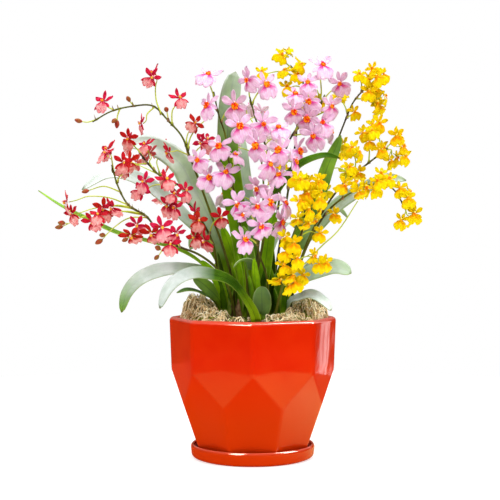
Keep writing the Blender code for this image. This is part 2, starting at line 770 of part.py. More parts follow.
def bloom_mesh(head):
    """A star of blunt lobes round a raised heart, on a three-sided stalk that widens
    behind the lobes to meet three of the notches between them."""
    lobes = BLOOMS[head["colour"]]["lobes"]
    size, face, middle = head["size"], head["face"], head["place"]
    upright = across(Vector((0, 0, 1)), face)
    level = upright.cross(face)
    up = upright * math.cos(head["roll"]) + level * math.sin(head["roll"])
    right = up.cross(face)
    bm = bmesh.new()

    def point(angle, out, lift):
        turn = math.radians(angle)
        flat = up * math.cos(turn) - right * math.sin(turn)
        return bm.verts.new(middle + (flat * out + face * lift) * size)

    heart = point(0, 0, HEART_RISE)
    notches = []
    ends = []
    for i, (angle, half, out, lift, notch) in enumerate(lobes):
        before = lobes[i - 1][0] - (360 if i == 0 else 0)
        notches.append(point((angle + before) / 2, notch, lift / 2 if notch > 0.5 else 0))
        ends.append((point(angle - half, out, lift), point(angle + half, out, lift)))
    for i, (a, b) in enumerate(ends):
        start, stop = notches[i], notches[(i + 1) % len(notches)]
        for corners in (
            (heart, start, a), (heart, a, b), (heart, b, stop), (start, a, b),
            (start, b, stop),
        ):
            bm.faces.new(corners)
    collar = notches[::2][:3]
    for i, notch in enumerate(notches):
        if notch not in collar:
            bm.faces.new((notches[i - 1], notch, notches[(i + 1) % len(notches)]))
    spokes = [notch.co - middle for notch in collar]
    radii = [head["root_radius"]] + [TWIG_RADIUS] * (len(head["path"]) - 2)
    rings = stalk_rings(head["path"][:-1], spokes, radii)
    rings = [[bm.verts.new(co) for co in ring] for ring in rings] + [collar]
    bm.faces.new(rings[0])
    for low, high in zip(rings, rings[1:]):
        for i in range(3):
            a, b, c, d = low[i - 1], low[i], high[i], high[i - 1]
            bm.faces.new((a, b, c))
            bm.faces.new((a, c, d))
    bmesh.ops.recalc_face_normals(bm, faces=bm.faces)
    return bm


def bud_mesh(head):
    """A drop-shaped bud that swells from the end of its stalk."""
    tip = head["place"] + head["stalk"] * head["size"] * BUD_LENGTH * 0.5
    widest = head["place"].copy()
    places = [*head["path"][:-1], widest]
    radii = [head["root_radius"]] + [TWIG_RADIUS] * (len(places) - 2)
    radii += [head["size"] * BUD_HALF_WIDTH]
    return rod(places, radii, 4, tip)


def joined(pieces, name, finish, where):
    """One solid from overlapping pieces, by one union on a collection."""
    helpers = collection_named(name + "_pieces")
    first = object_from(pieces[0], name, finish, where)
    for i, piece in enumerate(pieces[1:]):
        object_from(piece, f"{name}_piece_{i}", finish, helpers)
    union = first.modifiers.new("Join", "BOOLEAN")
    union.operation = "UNION"
    union.operand_type = "COLLECTION"
    union.collection = helpers
    union.solver = "MANIFOLD"
    bpy.context.view_layer.update()
    graph = bpy.context.evaluated_depsgraph_get()
    mesh = bpy.data.meshes.new_from_object(first.evaluated_get(graph))
    first.modifiers.clear()
    first.data = mesh
    mesh.name = name
    for piece in list(helpers.objects):
        bpy.data.objects.remove(piece, do_unlink=True)
    bpy.data.collections.remove(helpers)
    return first


def bulb_mesh(foot, height):
    """A pseudobulb: a flattened egg that narrows upward, sunk in the shoot's foot."""

    def ring_point(ring, i):
        angle = math.tau * i / BULB_SIDES
        share, half_width = BULB_LEVELS[ring]
        wide = half_width * MM
        spot = foot + Vector((0, 0, (height * share - 1) * MM))
        deep = wide * BULB_FLATNESS
        return spot + Vector((math.cos(angle) * wide, math.sin(angle) * deep, 0))

    def pole(end):
        return foot + Vector((0.5, 0, -1 if end == 0 else height)) * MM

    return drawn_ball(BULB_SIDES, len(BULB_LEVELS), pole, ring_point)


def make_shoot(name, shoot, finish, where):
    foot = foot_of(*shoot["foot"])
    ends = [foot - Vector((0, 0, PLANTING_DEPTH)), foot + Vector((0, 0, SHOOT_FOOT_RISE))]
    pieces = [rod(ends, [SHOOT_FOOT_RADIUS] * 2, SHOOT_FOOT_SIDES)]
    if shoot["bulb"]:
        pieces.append(bulb_mesh(foot, shoot["bulb"]))
    for leaf in shoot["leaves"]:
        width, face, places = leaf
        pieces.append(leaf_mesh(leaf_path(shoot, leaf), width, face, len(places) + 1))
    return joined(pieces, name, finish, where)


def make_spray(name, spray, heads, finish, where):
    foot = foot_of(*spray["foot"])
    axis = [foot - Vector((0, 0, PLANTING_DEPTH)), *axis_path(spray)]
    last = len(axis) - 1
    radii = [STEM_RADIUS * (1 - STEM_TAPER * i / last) for i in range(last + 1)]
    radii[0] = radii[1] = STEM_RADIUS
    pieces = [rod(axis, radii, STEM_SIDES)]
    for head in heads:
        if head["owner"] == name:
            pieces.append(bloom_mesh(head) if head["shape"] == "bloom" else bud_mesh(head))
    return joined(pieces, name, finish, where)


def ring_of(bm, radius, z, turned):
    """Points of one level of the pot. Turned levels have their corners between ridges."""
    offset = 0.5 if turned else 0.0
    for i in range(POT_SIDES):
        angle = math.tau * (i + offset) / POT_SIDES
        bm.verts.new((radius * math.sin(angle), -radius * math.cos(angle), z))


def faceted_hull(levels):
    bm = bmesh.new()
    for radius, z, turned in levels:
        ring_of(bm, radius, z, turned)
    bmesh.ops.convex_hull(bm, input=bm.verts)
    bmesh.ops.dissolve_limit(
        bm, angle_limit=math.radians(1), verts=bm.verts, edges=bm.edges
    )
    bmesh.ops.recalc_face_normals(bm, faces=bm.faces)
    return bm


def make_pot(finish, where, cutters):
    bm = faceted_hull(
        [
            (POT_FOOT_RADIUS, POT_FOOT_Z, True),
            (POT_KNEE_RADIUS, POT_KNEE_Z, True),
            (POT_WAIST_RADIUS, POT_WAIST_Z, False),
            (POT_RIM_RADIUS, POT_RIM_Z, False),
        ]
    )
    mouth = [face for face in bm.faces if face.normal.z > 0.9]
    bmesh.ops.delete(bm, geom=mouth, context="FACES_ONLY")
    pot = object_from(bm, "pot", finish, where)
    wall = pot.modifiers.new("Wall", "SOLIDIFY")
    wall.thickness = POT_WALL
    wall.offset = -1
    wall.use_even_offset = True
    edge = pot.modifiers.new("Soft edges", "BEVEL")
    edge.width = POT_EDGE
    edge.segments = 1
    edge.limit_method = "ANGLE"
    edge.angle_limit = math.radians(8)
    hole = bmesh.new()
    bmesh.ops.create_cone(
        hole, cap_ends=True, segments=DRAIN_SIDES, radius1=DRAIN_RADIUS,
        radius2=DRAIN_RADIUS, depth=4 * POT_WALL,
    )
    bmesh.ops.translate(hole, verts=hole.verts, vec=(0, 0, POT_FOOT_Z))
    cutter = object_from(hole, "drain_cutter", finish, cutters)
    cutter.hide_render = True
    cutter.display_type = "WIRE"
    drain = pot.modifiers.new("Drain", "BOOLEAN")
    drain.operation = "DIFFERENCE"
    drain.object = cutter
    return pot


def make_saucer(finish, where):
    outer, inner = SAUCER_RADIUS, SAUCER_RADIUS - SAUCER_WALL
    profile = [
        (0.0, SAUCER_FLOOR),
        (inner - SAUCER_COVE, SAUCER_FLOOR),
        (inner - SAUCER_COVE / 6, SAUCER_FLOOR + SAUCER_COVE * 0.7),
        (inner, SAUCER_HEIGHT - SAUCER_LIP),
        (outer - SAUCER_WALL / 2, SAUCER_HEIGHT),
        (outer, SAUCER_HEIGHT - SAUCER_LIP),
        (outer - 1.0 * MM, 4.5 * MM),
        (outer - 2.4 * MM, 1.4 * MM),
        (SAUCER_FOOT_RADIUS, 0.0),
        (0.0, 0.0),
    ]
    bm = bmesh.new()
    points = [bm.verts.new((radius, 0, z)) for radius, z in profile]
    for a, b in zip(points, points[1:]):
        bm.edges.new((a, b))
    saucer = object_from(bm, "saucer", finish, where)
    turn = saucer.modifiers.new("Turn", "SCREW")
    turn.steps = turn.render_steps = SAUCER_SIDES
    turn.use_merge_vertices = True
    turn.merge_threshold = 0.00001
    return saucer


def make_mix(finish, where, cutters):
    inset = MIX_INSET
    bm = faceted_hull(
        [
            (POT_FOOT_RADIUS - inset, POT_FOOT_Z + POT_WALL + GAP, True),
            (POT_KNEE_RADIUS - inset, POT_KNEE_Z, True),
            (POT_WAIST_RADIUS - inset, POT_WAIST_Z, False),
            (POT_RIM_RADIUS - inset, MIX_EDGE_Z, False),
            (MIX_TOP_RADIUS, MIX_TOP_Z, False),
        ]
    )
    mix = object_from(bm, "potting_mix", finish, where)
    feet = [(shoot["foot"], SHOOT_FOOT_RADIUS, SHOOT_FOOT_SIDES) for shoot in SHOOTS.values()]
    feet += [(spray["foot"], STEM_RADIUS, STEM_SIDES) for spray in SPRAYS.values()]
    for i, (foot, radius, sides) in enumerate(feet):
        top = foot_of(*foot) + Vector((0, 0, PLANTING_DEPTH / 2))
        bottom = foot_of(*foot) - Vector((0, 0, PLANTING_DEPTH + GAP))
        wide = radius + GAP / math.cos(math.pi / sides)
        hole = rod([bottom, top], [wide, wide], sides)
        cutter = object_from(hole, f"planting_hole_{i}", finish, cutters)
        cutter.hide_render = True
        cutter.display_type = "WIRE"
    cut = mix.modifiers.new("Planting holes", "BOOLEAN")
    cut.operation = "DIFFERENCE"
    cut.operand_type = "COLLECTION"
    cut.collection = cutters
    cut.solver = "EXACT"
    return mix


def moss_lumps(angle, share):
    """Lumps of the moss, as a share of its height, from a few waves."""
    total = 0.0
    for turns, start, size in MOSS_WAVES:
        total += size * math.sin(turns * angle + start + share * turns * 1.3)
    return total


def moss_height(angle):
    """The ring heaps up at both sides and is lowest in front, where the angle is 0."""
    side = abs(math.sin(angle)) ** 3
    front = max(0.0, math.cos(angle)) ** 2
    return MOSS_HEIGHT + MOSS_SIDE_HEAP * side - MOSS_FRONT_DIP * front


def make_moss(finish, where):
    bpy.ops.mesh.primitive_torus_add(
        major_segments=MOSS_TURNS, minor_segments=MOSS_SECTION,
        major_radius=2, minor_radius=1,
    )
    moss = bpy.context.object
    moss.name = "moss"
    for home in list(moss.users_collection):
        home.objects.unlink(moss)
    where.objects.link(moss)
    moss.data.materials.append(finish)
    eighth = math.tau / POT_SIDES
    slope = (MIX_TOP_Z - MIX_EDGE_Z) / (POT_RIM_RADIUS - MIX_INSET - MIX_TOP_RADIUS)
    for vert in moss.data.vertices:
        x, y, z = vert.co
        angle = math.atan2(x, -y)
        section = math.atan2(z, math.hypot(x, y) - 2)
        outer = MOSS_OUTER_APOTHEM / math.cos((angle % eighth) - eighth / 2)
        middle, half = (outer + MOSS_INNER_RADIUS) / 2, (outer - MOSS_INNER_RADIUS) / 2
        share = math.cos(section)
        lumps = moss_lumps(angle, share)
        radius = middle + half * share * (1 if section < 0 else 1 - 0.05 * abs(lumps))
        z = MIX_TOP_Z - max(0.0, radius - MIX_TOP_RADIUS) * slope * 0.9 + MOSS_GAP
        if section > 1e-6:
            rounding = math.sin(section) ** 0.7
            z += moss_height(angle) * rounding * (1 + MOSS_LUMPINESS * lumps)
        vert.co = (radius * math.sin(angle), -radius * math.cos(angle), z)
    outward = bmesh.new()
    outward.from_mesh(moss.data)
    bmesh.ops.recalc_face_normals(outward, faces=outward.faces)
    outward.to_mesh(moss.data)
    outward.free()
    return moss


def main():
    clear_scene()
    orchid = collection_named("potted_dancing_lady_orchid")
    planting_holes = collection_named("planting_hole_cutters")
    drains = collection_named("drain_cutters")
    glaze = material("red_glaze", (0.78, 0.055, 0.008), 0.12)
    bark = material("bark_mix", (0.09, 0.05, 0.025), 0.9)
    dried_moss = material("dried_moss", (0.50, 0.40, 0.25), 0.95)
    leaf_green = material("leaf_green", (0.10, 0.28, 0.05), 0.4)
    petals = {
        "red": material("red_spray", (0.62, 0.06, 0.10), 0.5),
        "pink": material("pink_spray", (0.80, 0.45, 0.78), 0.5),
        "yellow": material("yellow_spray", (0.90, 0.68, 0.02), 0.5),
    }
    make_saucer(glaze, orchid)
    make_pot(glaze, orchid, drains)
    make_mix(bark, orchid, planting_holes)
    make_moss(dried_moss, orchid)
    for name, shoot in SHOOTS.items():
        make_shoot(name, shoot, leaf_green, orchid)
    heads = all_heads()
    for name, spray in SPRAYS.items():
        make_spray(name, spray, heads, petals[spray["colour"]], orchid)


main()
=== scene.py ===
import math
import random

import bmesh
import bpy
from mathutils import Matrix, Vector, noise


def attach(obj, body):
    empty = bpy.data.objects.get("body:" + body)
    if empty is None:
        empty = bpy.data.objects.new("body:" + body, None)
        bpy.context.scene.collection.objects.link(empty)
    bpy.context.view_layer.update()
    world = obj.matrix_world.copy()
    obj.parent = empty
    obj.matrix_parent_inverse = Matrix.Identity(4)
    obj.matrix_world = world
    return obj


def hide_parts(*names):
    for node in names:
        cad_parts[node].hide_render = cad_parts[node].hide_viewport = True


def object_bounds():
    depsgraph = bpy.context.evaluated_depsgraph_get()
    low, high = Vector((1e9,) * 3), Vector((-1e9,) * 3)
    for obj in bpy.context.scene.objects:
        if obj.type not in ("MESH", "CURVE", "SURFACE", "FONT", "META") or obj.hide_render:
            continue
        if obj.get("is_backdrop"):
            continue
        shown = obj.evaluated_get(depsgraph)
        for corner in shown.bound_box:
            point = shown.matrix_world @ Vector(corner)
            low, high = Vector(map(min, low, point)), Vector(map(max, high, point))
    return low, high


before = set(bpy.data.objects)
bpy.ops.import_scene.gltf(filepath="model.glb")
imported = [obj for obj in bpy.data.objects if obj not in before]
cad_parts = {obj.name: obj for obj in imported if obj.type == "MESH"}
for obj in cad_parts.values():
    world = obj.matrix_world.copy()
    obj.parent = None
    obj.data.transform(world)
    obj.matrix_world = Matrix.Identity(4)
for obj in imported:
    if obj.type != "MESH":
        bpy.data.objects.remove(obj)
cad_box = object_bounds()

# The saucer
# A low turned dish of earthenware, dipped whole in the pot's red-orange glaze. It stands on
# a narrow foot ring, and the glaze rounds its lip and the inner corner.
MM = 0.001  # a millimetre, in the scene's metres
SAUCER_RADIUS = 61.9
SAUCER_HEIGHT = 14.0
SAUCER_WALL = 3.2
SAUCER_FLOOR = 5.0
SAUCER_FOOT_RADIUS = 56.0
SAUCER_FOOT_WIDTH = 4.5
SAUCER_FOOT_RECESS = 1.4
SAUCER_CORNER = 4.4
SAUCER_COVE = 3.2
SAUCER_LIP = 4.5
SAUCER_LIP_TURN = 38
SAUCER_SIDES = 128
SAUCER_SHARPEST_CURVE = 50


def arc(radius, height, size, start, stop, steps):
    """Points of a turned profile along an arc, its angles in degrees from outward to up."""
    points = []
    for i in range(steps + 1):
        angle = math.radians(start + (stop - start) * i / steps)
        points.append((radius + size * math.cos(angle), height + size * math.sin(angle)))
    return points


def edited(step, **settings):
    """One step of editing on the whole mesh of the active piece."""
    bpy.ops.object.mode_set(mode="EDIT")
    bpy.ops.mesh.select_all(action="SELECT")
    step(**settings)
    bpy.ops.object.mode_set(mode="OBJECT")


def face_outward():
    """Turns all faces of the active piece outward."""
    edited(bpy.ops.mesh.normals_make_consistent, inside=False)


def turned(name, profile, sides):
    """A circle that is extruded and resized from one point of its profile to the next."""
    radius, height = profile[0]
    bpy.ops.mesh.primitive_circle_add(
        vertices=sides, radius=radius * MM, location=(0, 0, height * MM), fill_type="NGON"
    )
    piece = bpy.context.object
    piece.name = name
    bpy.ops.object.transform_apply(location=True, rotation=False, scale=False)
    bpy.ops.object.mode_set(mode="EDIT")
    bpy.ops.mesh.select_all(action="SELECT")
    for next_radius, next_height in profile[1:]:
        rise = (0, 0, (next_height - height) * MM)
        bpy.ops.mesh.extrude_region_move(TRANSFORM_OT_translate={"value": rise})
        grow = next_radius / radius
        bpy.ops.transform.resize(
            value=(grow, grow, 1), center_override=(0, 0, next_height * MM)
        )
        radius, height = next_radius, next_height
    bpy.ops.object.mode_set(mode="OBJECT")
    face_outward()
    return piece


def take_up(piece):
    """Selects one piece alone and makes it the active one."""
    bpy.ops.object.select_all(action="DESELECT")
    piece.select_set(True)
    bpy.context.view_layer.objects.active = piece


def shade(piece, degrees):
    """Smooth shading, but for edges sharper than this."""
    take_up(piece)
    bpy.ops.object.shade_smooth_by_angle(angle=math.radians(degrees))


def fill(tree, made, inputs):
    """Gives each input of a node a value or a link. Colours are red, green and blue."""
    for name, value in inputs.items():
        socket = made.inputs[name]
        if isinstance(value, bpy.types.NodeSocket):
            tree.links.new(value, socket)
        elif socket.type == "RGBA":
            socket.default_value = (*value, 1)
        else:
            socket.default_value = value


def node(tree, kind, inputs=None, **properties):
    """A shader node with its properties set, and each input given a value or a link."""
    made = tree.nodes.new(kind)
    for name, value in properties.items():
        setattr(made, name, value)
    fill(tree, made, inputs or {})
    return made


def maths(tree, operation, *values):
    """A sum on up to three values, each a number or a link."""
    inputs = dict(enumerate(values))
    return node(tree, "ShaderNodeMath", inputs, operation=operation).outputs[0]


def own_place(tree):
    """The place on the object itself."""
    return node(tree, "ShaderNodeTexCoord").outputs["Object"]


def parts_of(tree, vector):
    """The X, Y and Z of a vector."""
    return node(tree, "ShaderNodeSeparateXYZ", {"Vector": vector}).outputs


def mixed(tree, share, first, second):
    """The colour between two others, by a share from 0 to 1."""
    inputs = {0: share, 6: first, 7: second}
    return node(tree, "ShaderNodeMix", inputs, data_type="RGBA").outputs[2]


def noisy(tree, place, scale, detail=2.0):
    """Cloudy noise from 0 to 1, of this many patches to the metre."""
    inputs = {"Vector": place, "Scale": scale, "Detail": detail}
    return node(tree, "ShaderNodeTexNoise", inputs).outputs["Fac"]


def ranged(tree, value, low, high, to_low=0.0, to_high=1.0):
    """A value mapped from one range to another and held inside it."""
    inputs = {"Value": value, "From Min": low, "From Max": high, "To Min": to_low,
              "To Max": to_high}
    return node(tree, "ShaderNodeMapRange", inputs).outputs["Result"]


def group(name, inputs, outputs):
    """An empty node group with its named sockets, and its two end nodes."""
    tree = bpy.data.node_groups.new(name, "ShaderNodeTree")
    for socket, value in inputs.items():
        kind = FLOAT if isinstance(value, float) else COLOUR
        made = tree.interface.new_socket(name=socket, in_out="INPUT", socket_type=kind)
        made.default_value = value
    for socket, kind in outputs.items():
        tree.interface.new_socket(name=socket, in_out="OUTPUT", socket_type=kind)
    start = tree.nodes.new("NodeGroupInput").outputs
    return tree, start, tree.nodes.new("NodeGroupOutput")


FLOAT = "NodeSocketFloat"
COLOUR = "NodeSocketColor"
BLACK = (0.0, 0.0, 0.0)
WHITE = (1.0, 1.0, 1.0)


def mottle_group():
    """Soft patches of two colours, by the place on the object."""
    inputs = {"Colour A": (*WHITE, 1), "Colour B": (*WHITE, 1), "Scale": 30.0, "Detail": 3.0,
              "Low": 0.35, "High": 0.65}
    tree, start, end = group("Mottle", inputs, {"Colour": COLOUR, "Mask": FLOAT})
    patches = noisy(tree, own_place(tree), start["Scale"], start["Detail"])
    share = ranged(tree, patches, start["Low"], start["High"])
    colour = mixed(tree, share, start["Colour A"], start["Colour B"])
    fill(tree, end, {"Colour": colour, "Mask": share})
    return tree


MOTTLE = mottle_group()


def mottle(tree, colour_a, colour_b, scale, detail=3.0, low=0.35, high=0.65):
    """The colour and the mask of the patches, of this many to the metre."""
    inputs = {"Colour A": colour_a, "Colour B": colour_b, "Scale": scale, "Detail": detail,
              "Low": low, "High": high}
    return node(tree, "ShaderNodeGroup", inputs, node_tree=MOTTLE).outputs


def material(name):
    made = bpy.data.materials.new(name)
    made.use_nodes = True
    return made, made.node_tree, made.node_tree.nodes["Principled BSDF"]


def bumped(tree, shader, height, distance):
    """A surface that rises with a height from 0 to 1, by this distance in metres."""
    bump = node(tree, "ShaderNodeBump", {"Height": height, "Distance": distance})
    tree.links.new(bump.outputs["Normal"], shader.inputs["Normal"])


def attribute(tree, name):
    """The value that a piece's points or faces have under this name."""
    return node(tree, "ShaderNodeAttribute", attribute_name=name).outputs["Fac"]


GLAZE_DEEP = (0.55, 0.012, 0.0004)
GLAZE_LIGHT = (0.59, 0.020, 0.001)
# Toward the foot: thinner glaze, and a painted reflection of the pale table in the facets that face down.
GLAZE_LOW = (0.49, 0.028, 0.001)
# Over the rim and the saucer's lip: thinner glaze, painted paler still as a highlight.
GLAZE_EDGE = (0.90, 0.24, 0.15)


def glaze_material():
    """A thick glossy glaze: even colour, slow waves and pinholes; more orange toward the foot (thinner
    glaze and a painted reflection) and paler on the rim and lip (thinner glaze and a painted highlight).
    """
    made, tree, shader = material("red_orange_glaze")
    colour = mottle(tree, GLAZE_DEEP, GLAZE_LIGHT, 22.0)["Colour"]
    place = own_place(tree)
    # Toward the foot the glaze turns more orange: partly thinner glaze, partly a painted reflection of the
    # table.
    lower = ranged(tree, parts_of(tree, place)["Z"], 0.04, 0.1, 1.0, 0.0)
    colour = mixed(tree, lower, colour, GLAZE_LOW)
    waves = noisy(tree, place, 34.0, 1.0)
    holes = node(tree, "ShaderNodeTexVoronoi", {"Vector": place, "Scale": 260.0})
    pits = ranged(tree, holes.outputs["Distance"], 0.0, 0.12, 0.0, 0.03)
    bumped(tree, shader, maths(tree, "ADD", waves, pits), 0.0007)
    fill(tree, shader, {
        # Paler where marked along the rim and lip: thinner glaze and a painted highlight.
        "Base Color": mixed(tree, attribute(tree, "thin_glaze_and_highlight"), colour, GLAZE_EDGE),
        "Roughness": ranged(tree, waves, 0.3, 0.7, 0.06, 0.12),
        "Specular IOR Level": 0.35,
        "Specular Tint": (1.0, 0.42, 0.22),
        "Coat Weight": 0.5,
        "Coat Roughness": 0.03,
    })
    return made


def thin_glaze_and_highlight(piece, share, chosen):
    """Marks the chosen faces, along the edges, as covered by thinner and paler glaze with a painted
    highlight.
    """
    marks = piece.data.attributes.get("thin_glaze_and_highlight")
    if not marks:
        marks = piece.data.attributes.new("thin_glaze_and_highlight", "FLOAT", "FACE")
    for polygon in piece.data.polygons:
        if chosen(polygon):
            marks.data[polygon.index].value = share


GLAZE = glaze_material()
saucer_inside = SAUCER_RADIUS - SAUCER_WALL
foot_inside = SAUCER_FOOT_RADIUS - SAUCER_FOOT_WIDTH
lip_turn = math.cos(math.radians(SAUCER_LIP_TURN))
lip_top = (SAUCER_WALL - SAUCER_LIP * (1 - lip_turn)) / (1 + lip_turn)
lip_drop = (SAUCER_LIP - lip_top) * math.sin(math.radians(SAUCER_LIP_TURN))
# Its section, from the middle of the underside over the lip to the middle of the inside.
saucer_profile = [
    (1.0, SAUCER_FOOT_RECESS),
    (foot_inside - 1.0, SAUCER_FOOT_RECESS),
    (foot_inside, 0.3),
    (foot_inside + 0.4, 0.0),
    (SAUCER_FOOT_RADIUS - 0.4, 0.0),
    (SAUCER_FOOT_RADIUS + 0.2, 0.3),
    *arc(SAUCER_RADIUS - SAUCER_CORNER - 0.6, 0.7 + SAUCER_CORNER, SAUCER_CORNER, -75, -8, 7),
    *arc(SAUCER_RADIUS - SAUCER_LIP, SAUCER_HEIGHT - lip_top - lip_drop, SAUCER_LIP,
         0, SAUCER_LIP_TURN - 4, 6),
    *arc(saucer_inside + lip_top, SAUCER_HEIGHT - lip_top, lip_top, SAUCER_LIP_TURN, 180, 9),
    *arc(saucer_inside - SAUCER_COVE, SAUCER_FLOOR + SAUCER_COVE, SAUCER_COVE, -6, -90, 6),
    (1.0, SAUCER_FLOOR),
]
saucer = turned("glazed_saucer", saucer_profile, SAUCER_SIDES)
# The saucer's lip is painted paler along its top: thinner glaze and a painted highlight.
thin_glaze_and_highlight(saucer, 0.14, lambda face: face.center.z > (SAUCER_HEIGHT - 0.9) * MM)
saucer.data.materials.append(GLAZE)
shade(saucer, SAUCER_SHARPEST_CURVE)
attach(saucer, "root")
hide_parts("saucer")

# The pot
# A slip-cast earthenware cup with eight upright panels above pointed facets and pentagons.
# Its ridges are softened by the thick glaze, and one hole drains its floor into the saucer.
POT_RIDGES = 8
POT_FOOT_Z = 5.3
POT_KNEE_Z = 56.0
POT_RIM_Z = 140.5
POT_WALL = 6.0
DRAIN_RADIUS = 6.0
# The share of its bevel's width that each kind of crease takes.
POT_BEVELS = {"panel": 1.0, "waist": 0.55, "belt": 0.6, "base": 0.6}
POT_BEVEL_WIDTH = 3.6
POT_SHARPEST_CURVE = 60
LIP_BEVELS = {"outer": 1.0, "inner": 0.3, "foot": 0.4}
LIP_BEVEL_WIDTH = 4.3
# The least angle between its faces, in radians, that makes a crease of an edge.
LIP_SHARPNESS = 1.0
FOOT_SHARPNESS = 0.6
FOOT_LEAST_RADIUS = 40
RIDGE_SHARE = math.cos(math.pi / POT_RIDGES)
# Where the rim's outer and inner edges part, as a radius between the ridges, and how much
# further out that is at the ridges.
RIM_PARTING = 81 * RIDGE_SHARE - 1.5
RIM_PARTING_BULGE = 4.5
# Each level: the radius and height at its ridges, and those halfway between the ridges.
POT_LEVELS = (
    (84.2, POT_RIM_Z, 84.2 * RIDGE_SHARE + 0.5, POT_RIM_Z),
    (82.2, 90.0, 82.4 * RIDGE_SHARE + 0.4, 95.0),
    (68.4, POT_KNEE_Z, 73.6, POT_KNEE_Z),
    (55.5 * RIDGE_SHARE, POT_FOOT_Z, 55.5, POT_FOOT_Z),
    (DRAIN_RADIUS, POT_FOOT_Z, DRAIN_RADIUS, POT_FOOT_Z),
)


def on_ridge(place):
    """Whether a point of the pot lies on one of its eight ridges, and not between them."""
    turn = math.atan2(place.x, -place.y) / math.tau * 2 * POT_RIDGES
    return round(turn) % 2 == 0


def pot_skin():
    """The pot's outside: rings from the rim down, each shaped at and between its ridges."""
    radius, height, _, _ = POT_LEVELS[0]
    bpy.ops.mesh.primitive_circle_add(
        vertices=2 * POT_RIDGES, radius=radius * MM, location=(0, 0, height * MM)
    )
    skin = bpy.context.object
    skin.name = "glazed_pot"
    bpy.ops.object.transform_apply(location=True, rotation=False, scale=False)
    bpy.ops.object.mode_set(mode="EDIT")
    bpy.ops.mesh.select_all(action="SELECT")
    for _ in POT_LEVELS[1:]:
        bpy.ops.mesh.extrude_region_move(TRANSFORM_OT_translate={"value": (0, 0, -0.01)})
    bpy.ops.object.mode_set(mode="OBJECT")
    for vert in skin.data.vertices:
        level = POT_LEVELS[vert.index // (2 * POT_RIDGES)]
        ridge = on_ridge(vert.co)
        out = vert.co.xy.normalized() * (level[0] if ridge else level[2]) * MM
        vert.co = (out.x, out.y, (level[1] if ridge else level[3]) * MM)
    return skin


def crease_pot(skin):
    """Joins each waist ridge to its two knees, and marks the creases for the bevel."""
    shape = bmesh.new()
    shape.from_mesh(skin.data)
    level_of = {v: v.index // (2 * POT_RIDGES) for v in shape.verts}
    for face in list(shape.faces):
        waist = [v for v in face.verts if level_of[v] == 1 and on_ridge(v.co)]
        knee = [v for v in face.verts if level_of[v] == 2 and not on_ridge(v.co)]
        if waist and knee:
            bmesh.ops.connect_verts(shape, verts=[waist[0], knee[0]])
    weights = shape.edges.layers.float.new("bevel_weight_edge")
    for edge in shape.edges:
        a, b = sorted(edge.verts, key=lambda v: level_of[v])
        levels = (level_of[a], level_of[b])
        if levels == (0, 1) and on_ridge(a.co) and on_ridge(b.co):
            edge[weights] = POT_BEVELS["panel"]
        elif levels == (1, 1):
            edge[weights] = POT_BEVELS["waist"]
        elif levels == (1, 2) and on_ridge(a.co) and not on_ridge(b.co):
            edge[weights] = POT_BEVELS["belt"]
        elif levels == (2, 3) and not on_ridge(a.co):
            edge[weights] = POT_BEVELS["base"]
    shape.to_mesh(skin.data)
    shape.free()


def applied(piece, kind, name, **settings):
    """Adds a modifier with its settings and applies it."""
    take_up(piece)
    modifier = piece.modifiers.new(name, kind)
    for setting, value in settings.items():
        setattr(modifier, setting, value)
    bpy.ops.object.modifier_apply(modifier=name)


def nearness_to_ridge(place):
    """How near a point lies to one of the ridges, from 0 to 1."""
    turn = math.atan2(place.x, -place.y) / math.tau * POT_RIDGES
    return 1 - 2 * abs(turn - round(turn))


def crease_lip(piece):
    """Marks the rim's outer edge for the second bevel, and less so its inner edge and foot."""
    shape = bmesh.new()
    shape.from_mesh(piece.data)
    weights = shape.edges.layers.float["bevel_weight_edge"]
    for edge in shape.edges:
        bend = edge.calc_face_angle(0.0)
        height = min(v.co.z for v in edge.verts) / MM
        low = max(v.co.z for v in edge.verts) / MM < POT_FOOT_Z + 0.1
        out = min(v.co.xy.length for v in edge.verts) / MM
        edge[weights] = 0.0
        if height > POT_RIM_Z - 0.5 and bend > LIP_SHARPNESS:
            middle = (edge.verts[0].co + edge.verts[1].co) / 2
            parting = RIM_PARTING + RIM_PARTING_BULGE * nearness_to_ridge(middle)
            side = "outer" if middle.xy.length / MM > parting else "inner"
            edge[weights] = LIP_BEVELS[side]
        elif low and out > FOOT_LEAST_RADIUS and bend > FOOT_SHARPNESS:
            edge[weights] = LIP_BEVELS["foot"]
    shape.to_mesh(piece.data)
    shape.free()


pot = pot_skin()
crease_pot(pot)
face_outward()
applied(pot, "BEVEL", "Softened ridges", width=POT_BEVEL_WIDTH * MM, segments=4,
        limit_method="WEIGHT", use_clamp_overlap=True)
applied(pot, "SOLIDIFY", "Wall", thickness=POT_WALL * MM, offset=-1, use_even_offset=True)
crease_lip(pot)
applied(pot, "BEVEL", "Rounded lip", width=LIP_BEVEL_WIDTH * MM, segments=7,
        limit_method="WEIGHT", use_clamp_overlap=False)
# The rim is painted paler along its top: thinner glaze and a painted highlight.
thin_glaze_and_highlight(pot, 0.22, lambda face: face.center.z > (POT_RIM_Z - 2.0) * MM)
pot.data.materials.append(GLAZE)
shade(pot, POT_SHARPEST_CURVE)
applied(pot, "WEIGHTED_NORMAL", "Flat facets", keep_sharp=True, weight=80)
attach(pot, "root")
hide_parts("pot")

# The potting mix
# Composted bark that fills the pot to just under its rim, firmed round the plants. Loose
# chips of bark lie on top.
MIX_TOP_Z = 136.0
MIX_EDGE_Z = 130.0
MIX_TOP_RADIUS = 46.0
MIX_RIM_RADIUS = 76.2
BARK_DARK = (0.028, 0.014, 0.007)
BARK_LIGHT = (0.16, 0.08, 0.035)
BARK_DAMP = (0.07, 0.035, 0.016)
CHIP_COUNT = 300
CHIP_FORMS = 5
CHIPS_REACH = 50
CHIP_LIFT = 0.7
CHIP_TILT = 0.5
CHIP_ROUGHNESS = 1.4
CHIP_NOISE_SEED = 7


